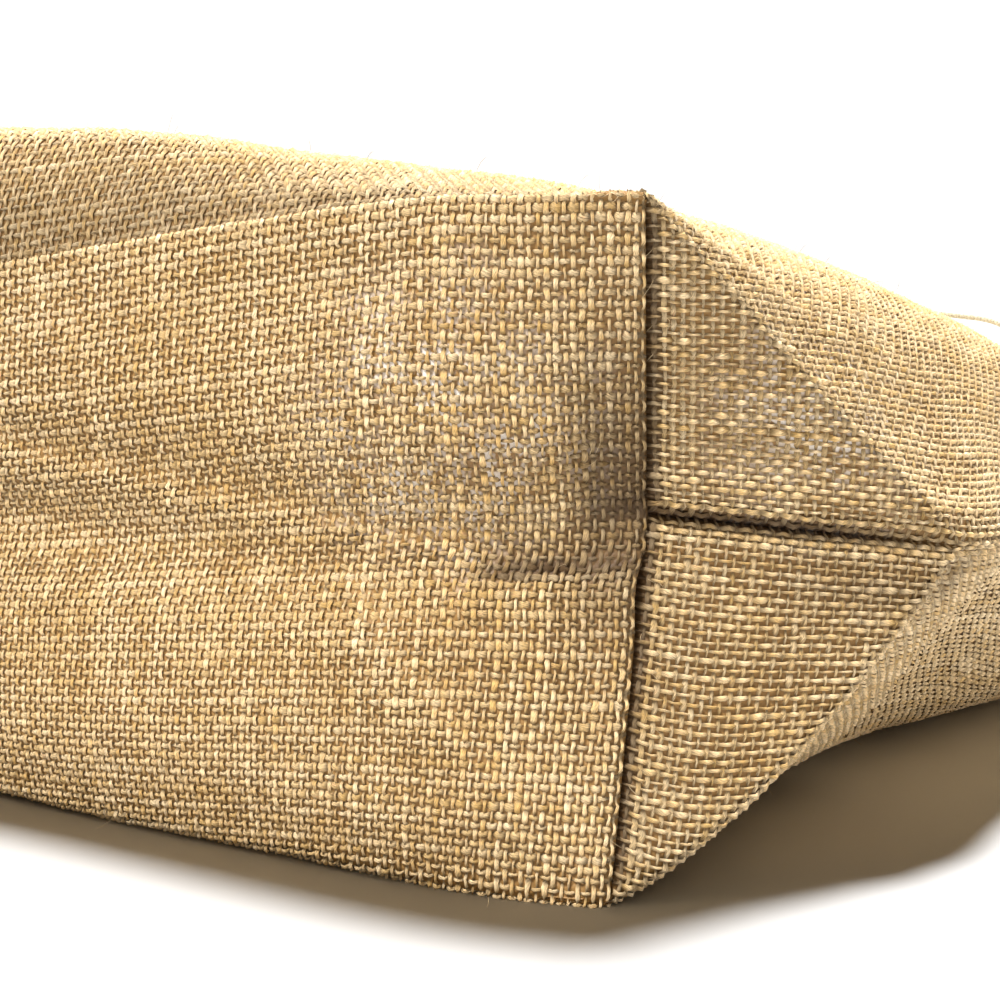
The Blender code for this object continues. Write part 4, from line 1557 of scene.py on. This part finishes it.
def add_sun(name, turn, energy):
    azimuth, height = map(math.radians, turn)
    out = math.cos(height)
    place = (math.cos(azimuth) * out, math.sin(azimuth) * out, math.sin(height))
    return add_light(name, "SUN", place, (0, 0, 0), energy, angle=math.radians(SUN_SOFTNESS))


def studio_world(sky):
    """White to the camera, and a faint warm light on everything else."""
    world = bpy.data.worlds.new("studio")
    world.use_nodes = True
    tree = world.node_tree
    seen = node(tree, "ShaderNodeLightPath").outputs["Is Camera Ray"]
    feed(tree, tree.nodes["Background"], (("Strength", spread(tree, seen, 0.0, 1.0, sky, BACKDROP)),
                                          ("Color", blended(tree, seen, SKY_TINT, (1.0, 1.0, 1.0)))))
    return world


def add_camera():
    right, forward = Vector(CAMERA_RIGHT).normalized(), Vector(CAMERA_FORWARD).normalized()
    camera = bpy.data.cameras.new("camera")
    camera.lens = CAMERA_LENS
    camera.sensor_width = 36
    camera.clip_start = 0.01
    item = bpy.data.objects.new("camera", camera)
    turn = Matrix((right, right.cross(forward), -forward)).transposed().to_4x4()
    item.matrix_world = Matrix.Translation(CAMERA_PLACE) @ turn
    bpy.context.scene.collection.objects.link(item)
    return item


class SetStage(bpy.types.Operator):
    """Lay the white floor, light it softly and aim the camera at the boxed corner"""
    bl_idname = "tote.stage"
    bl_label = "Stage"

    def execute(self, context):
        settings = settings_of(context, "stage")
        scene = context.scene
        bm = bmesh.new()
        bmesh.ops.create_grid(bm, x_segments=1, y_segments=1, size=6)
        floor = bpy.data.objects.new("floor", mesh_from(bm, "floor"))
        floor.data.materials.append(plain_material("floor", tuple(settings.floor), 0.9))
        scene.collection.objects.link(floor)
        scene.world = studio_world(settings.sky)
        add_sun("key", KEY_TURN, settings.key)
        fill = add_light("fill", "AREA", *FILL_BEAM, settings.fill, size=0.5)
        low = add_light("side", "AREA", *SIDE_BEAM, settings.side, size=0.4)
        rake = add_sun("rake", RAKE_TURN, settings.rake)
        lit = bpy.data.collections.new("lit_by_rake")       # all but the floor
        for item in bpy.data.objects:
            if item.type == "MESH" and item is not floor:
                lit.objects.link(item)
        for lamp in (rake, fill, low):
            lamp.light_linking.receiver_collection = lit
        scene.camera = add_camera()
        scene.view_settings.view_transform = "Standard"
        return {"FINISHED"}


class TotePanel(bpy.types.Panel):
    """Sizes, colours and steps of the tote bag"""
    bl_idname = "VIEW3D_PT_tote_bag"
    bl_label = "Jute Tote Bag"
    bl_space_type = "VIEW_3D"
    bl_region_type = "UI"
    bl_category = "Tote Bag"

    def draw(self, context):
        for name, settings in SETTINGS.items():
            box = self.layout.box()
            box.label(text=name.title())
            for field in settings.__annotations__:
                box.prop(settings_of(context, name), field)
        for operator in STEPS:
            self.layout.operator(operator.bl_idname)


SETTINGS = {"cloth": ClothSettings, "handles": HandleSettings, "fibres": FibreSettings,
            "stage": StageSettings}
STEPS = (WeaveFilm, WeaveBase, WeavePanels, WeaveHem, MakeHandles, ScatterFibres, DeclareCloth,
         SetStage)


def register():
    for kind in (*SETTINGS.values(), *STEPS, TotePanel):
        bpy.utils.register_class(kind)
    for name, kind in SETTINGS.items():
        setattr(bpy.types.Scene, "tote_" + name, PointerProperty(type=kind))


def unregister():
    for name in SETTINGS:
        delattr(bpy.types.Scene, "tote_" + name)
    for kind in (TotePanel, *reversed(STEPS), *reversed(SETTINGS.values())):
        bpy.utils.unregister_class(kind)


def main():
    register()
    for operator in STEPS:
        getattr(bpy.ops.tote, operator.bl_idname.split(".")[1])()


if __name__ == "__main__":
    main()
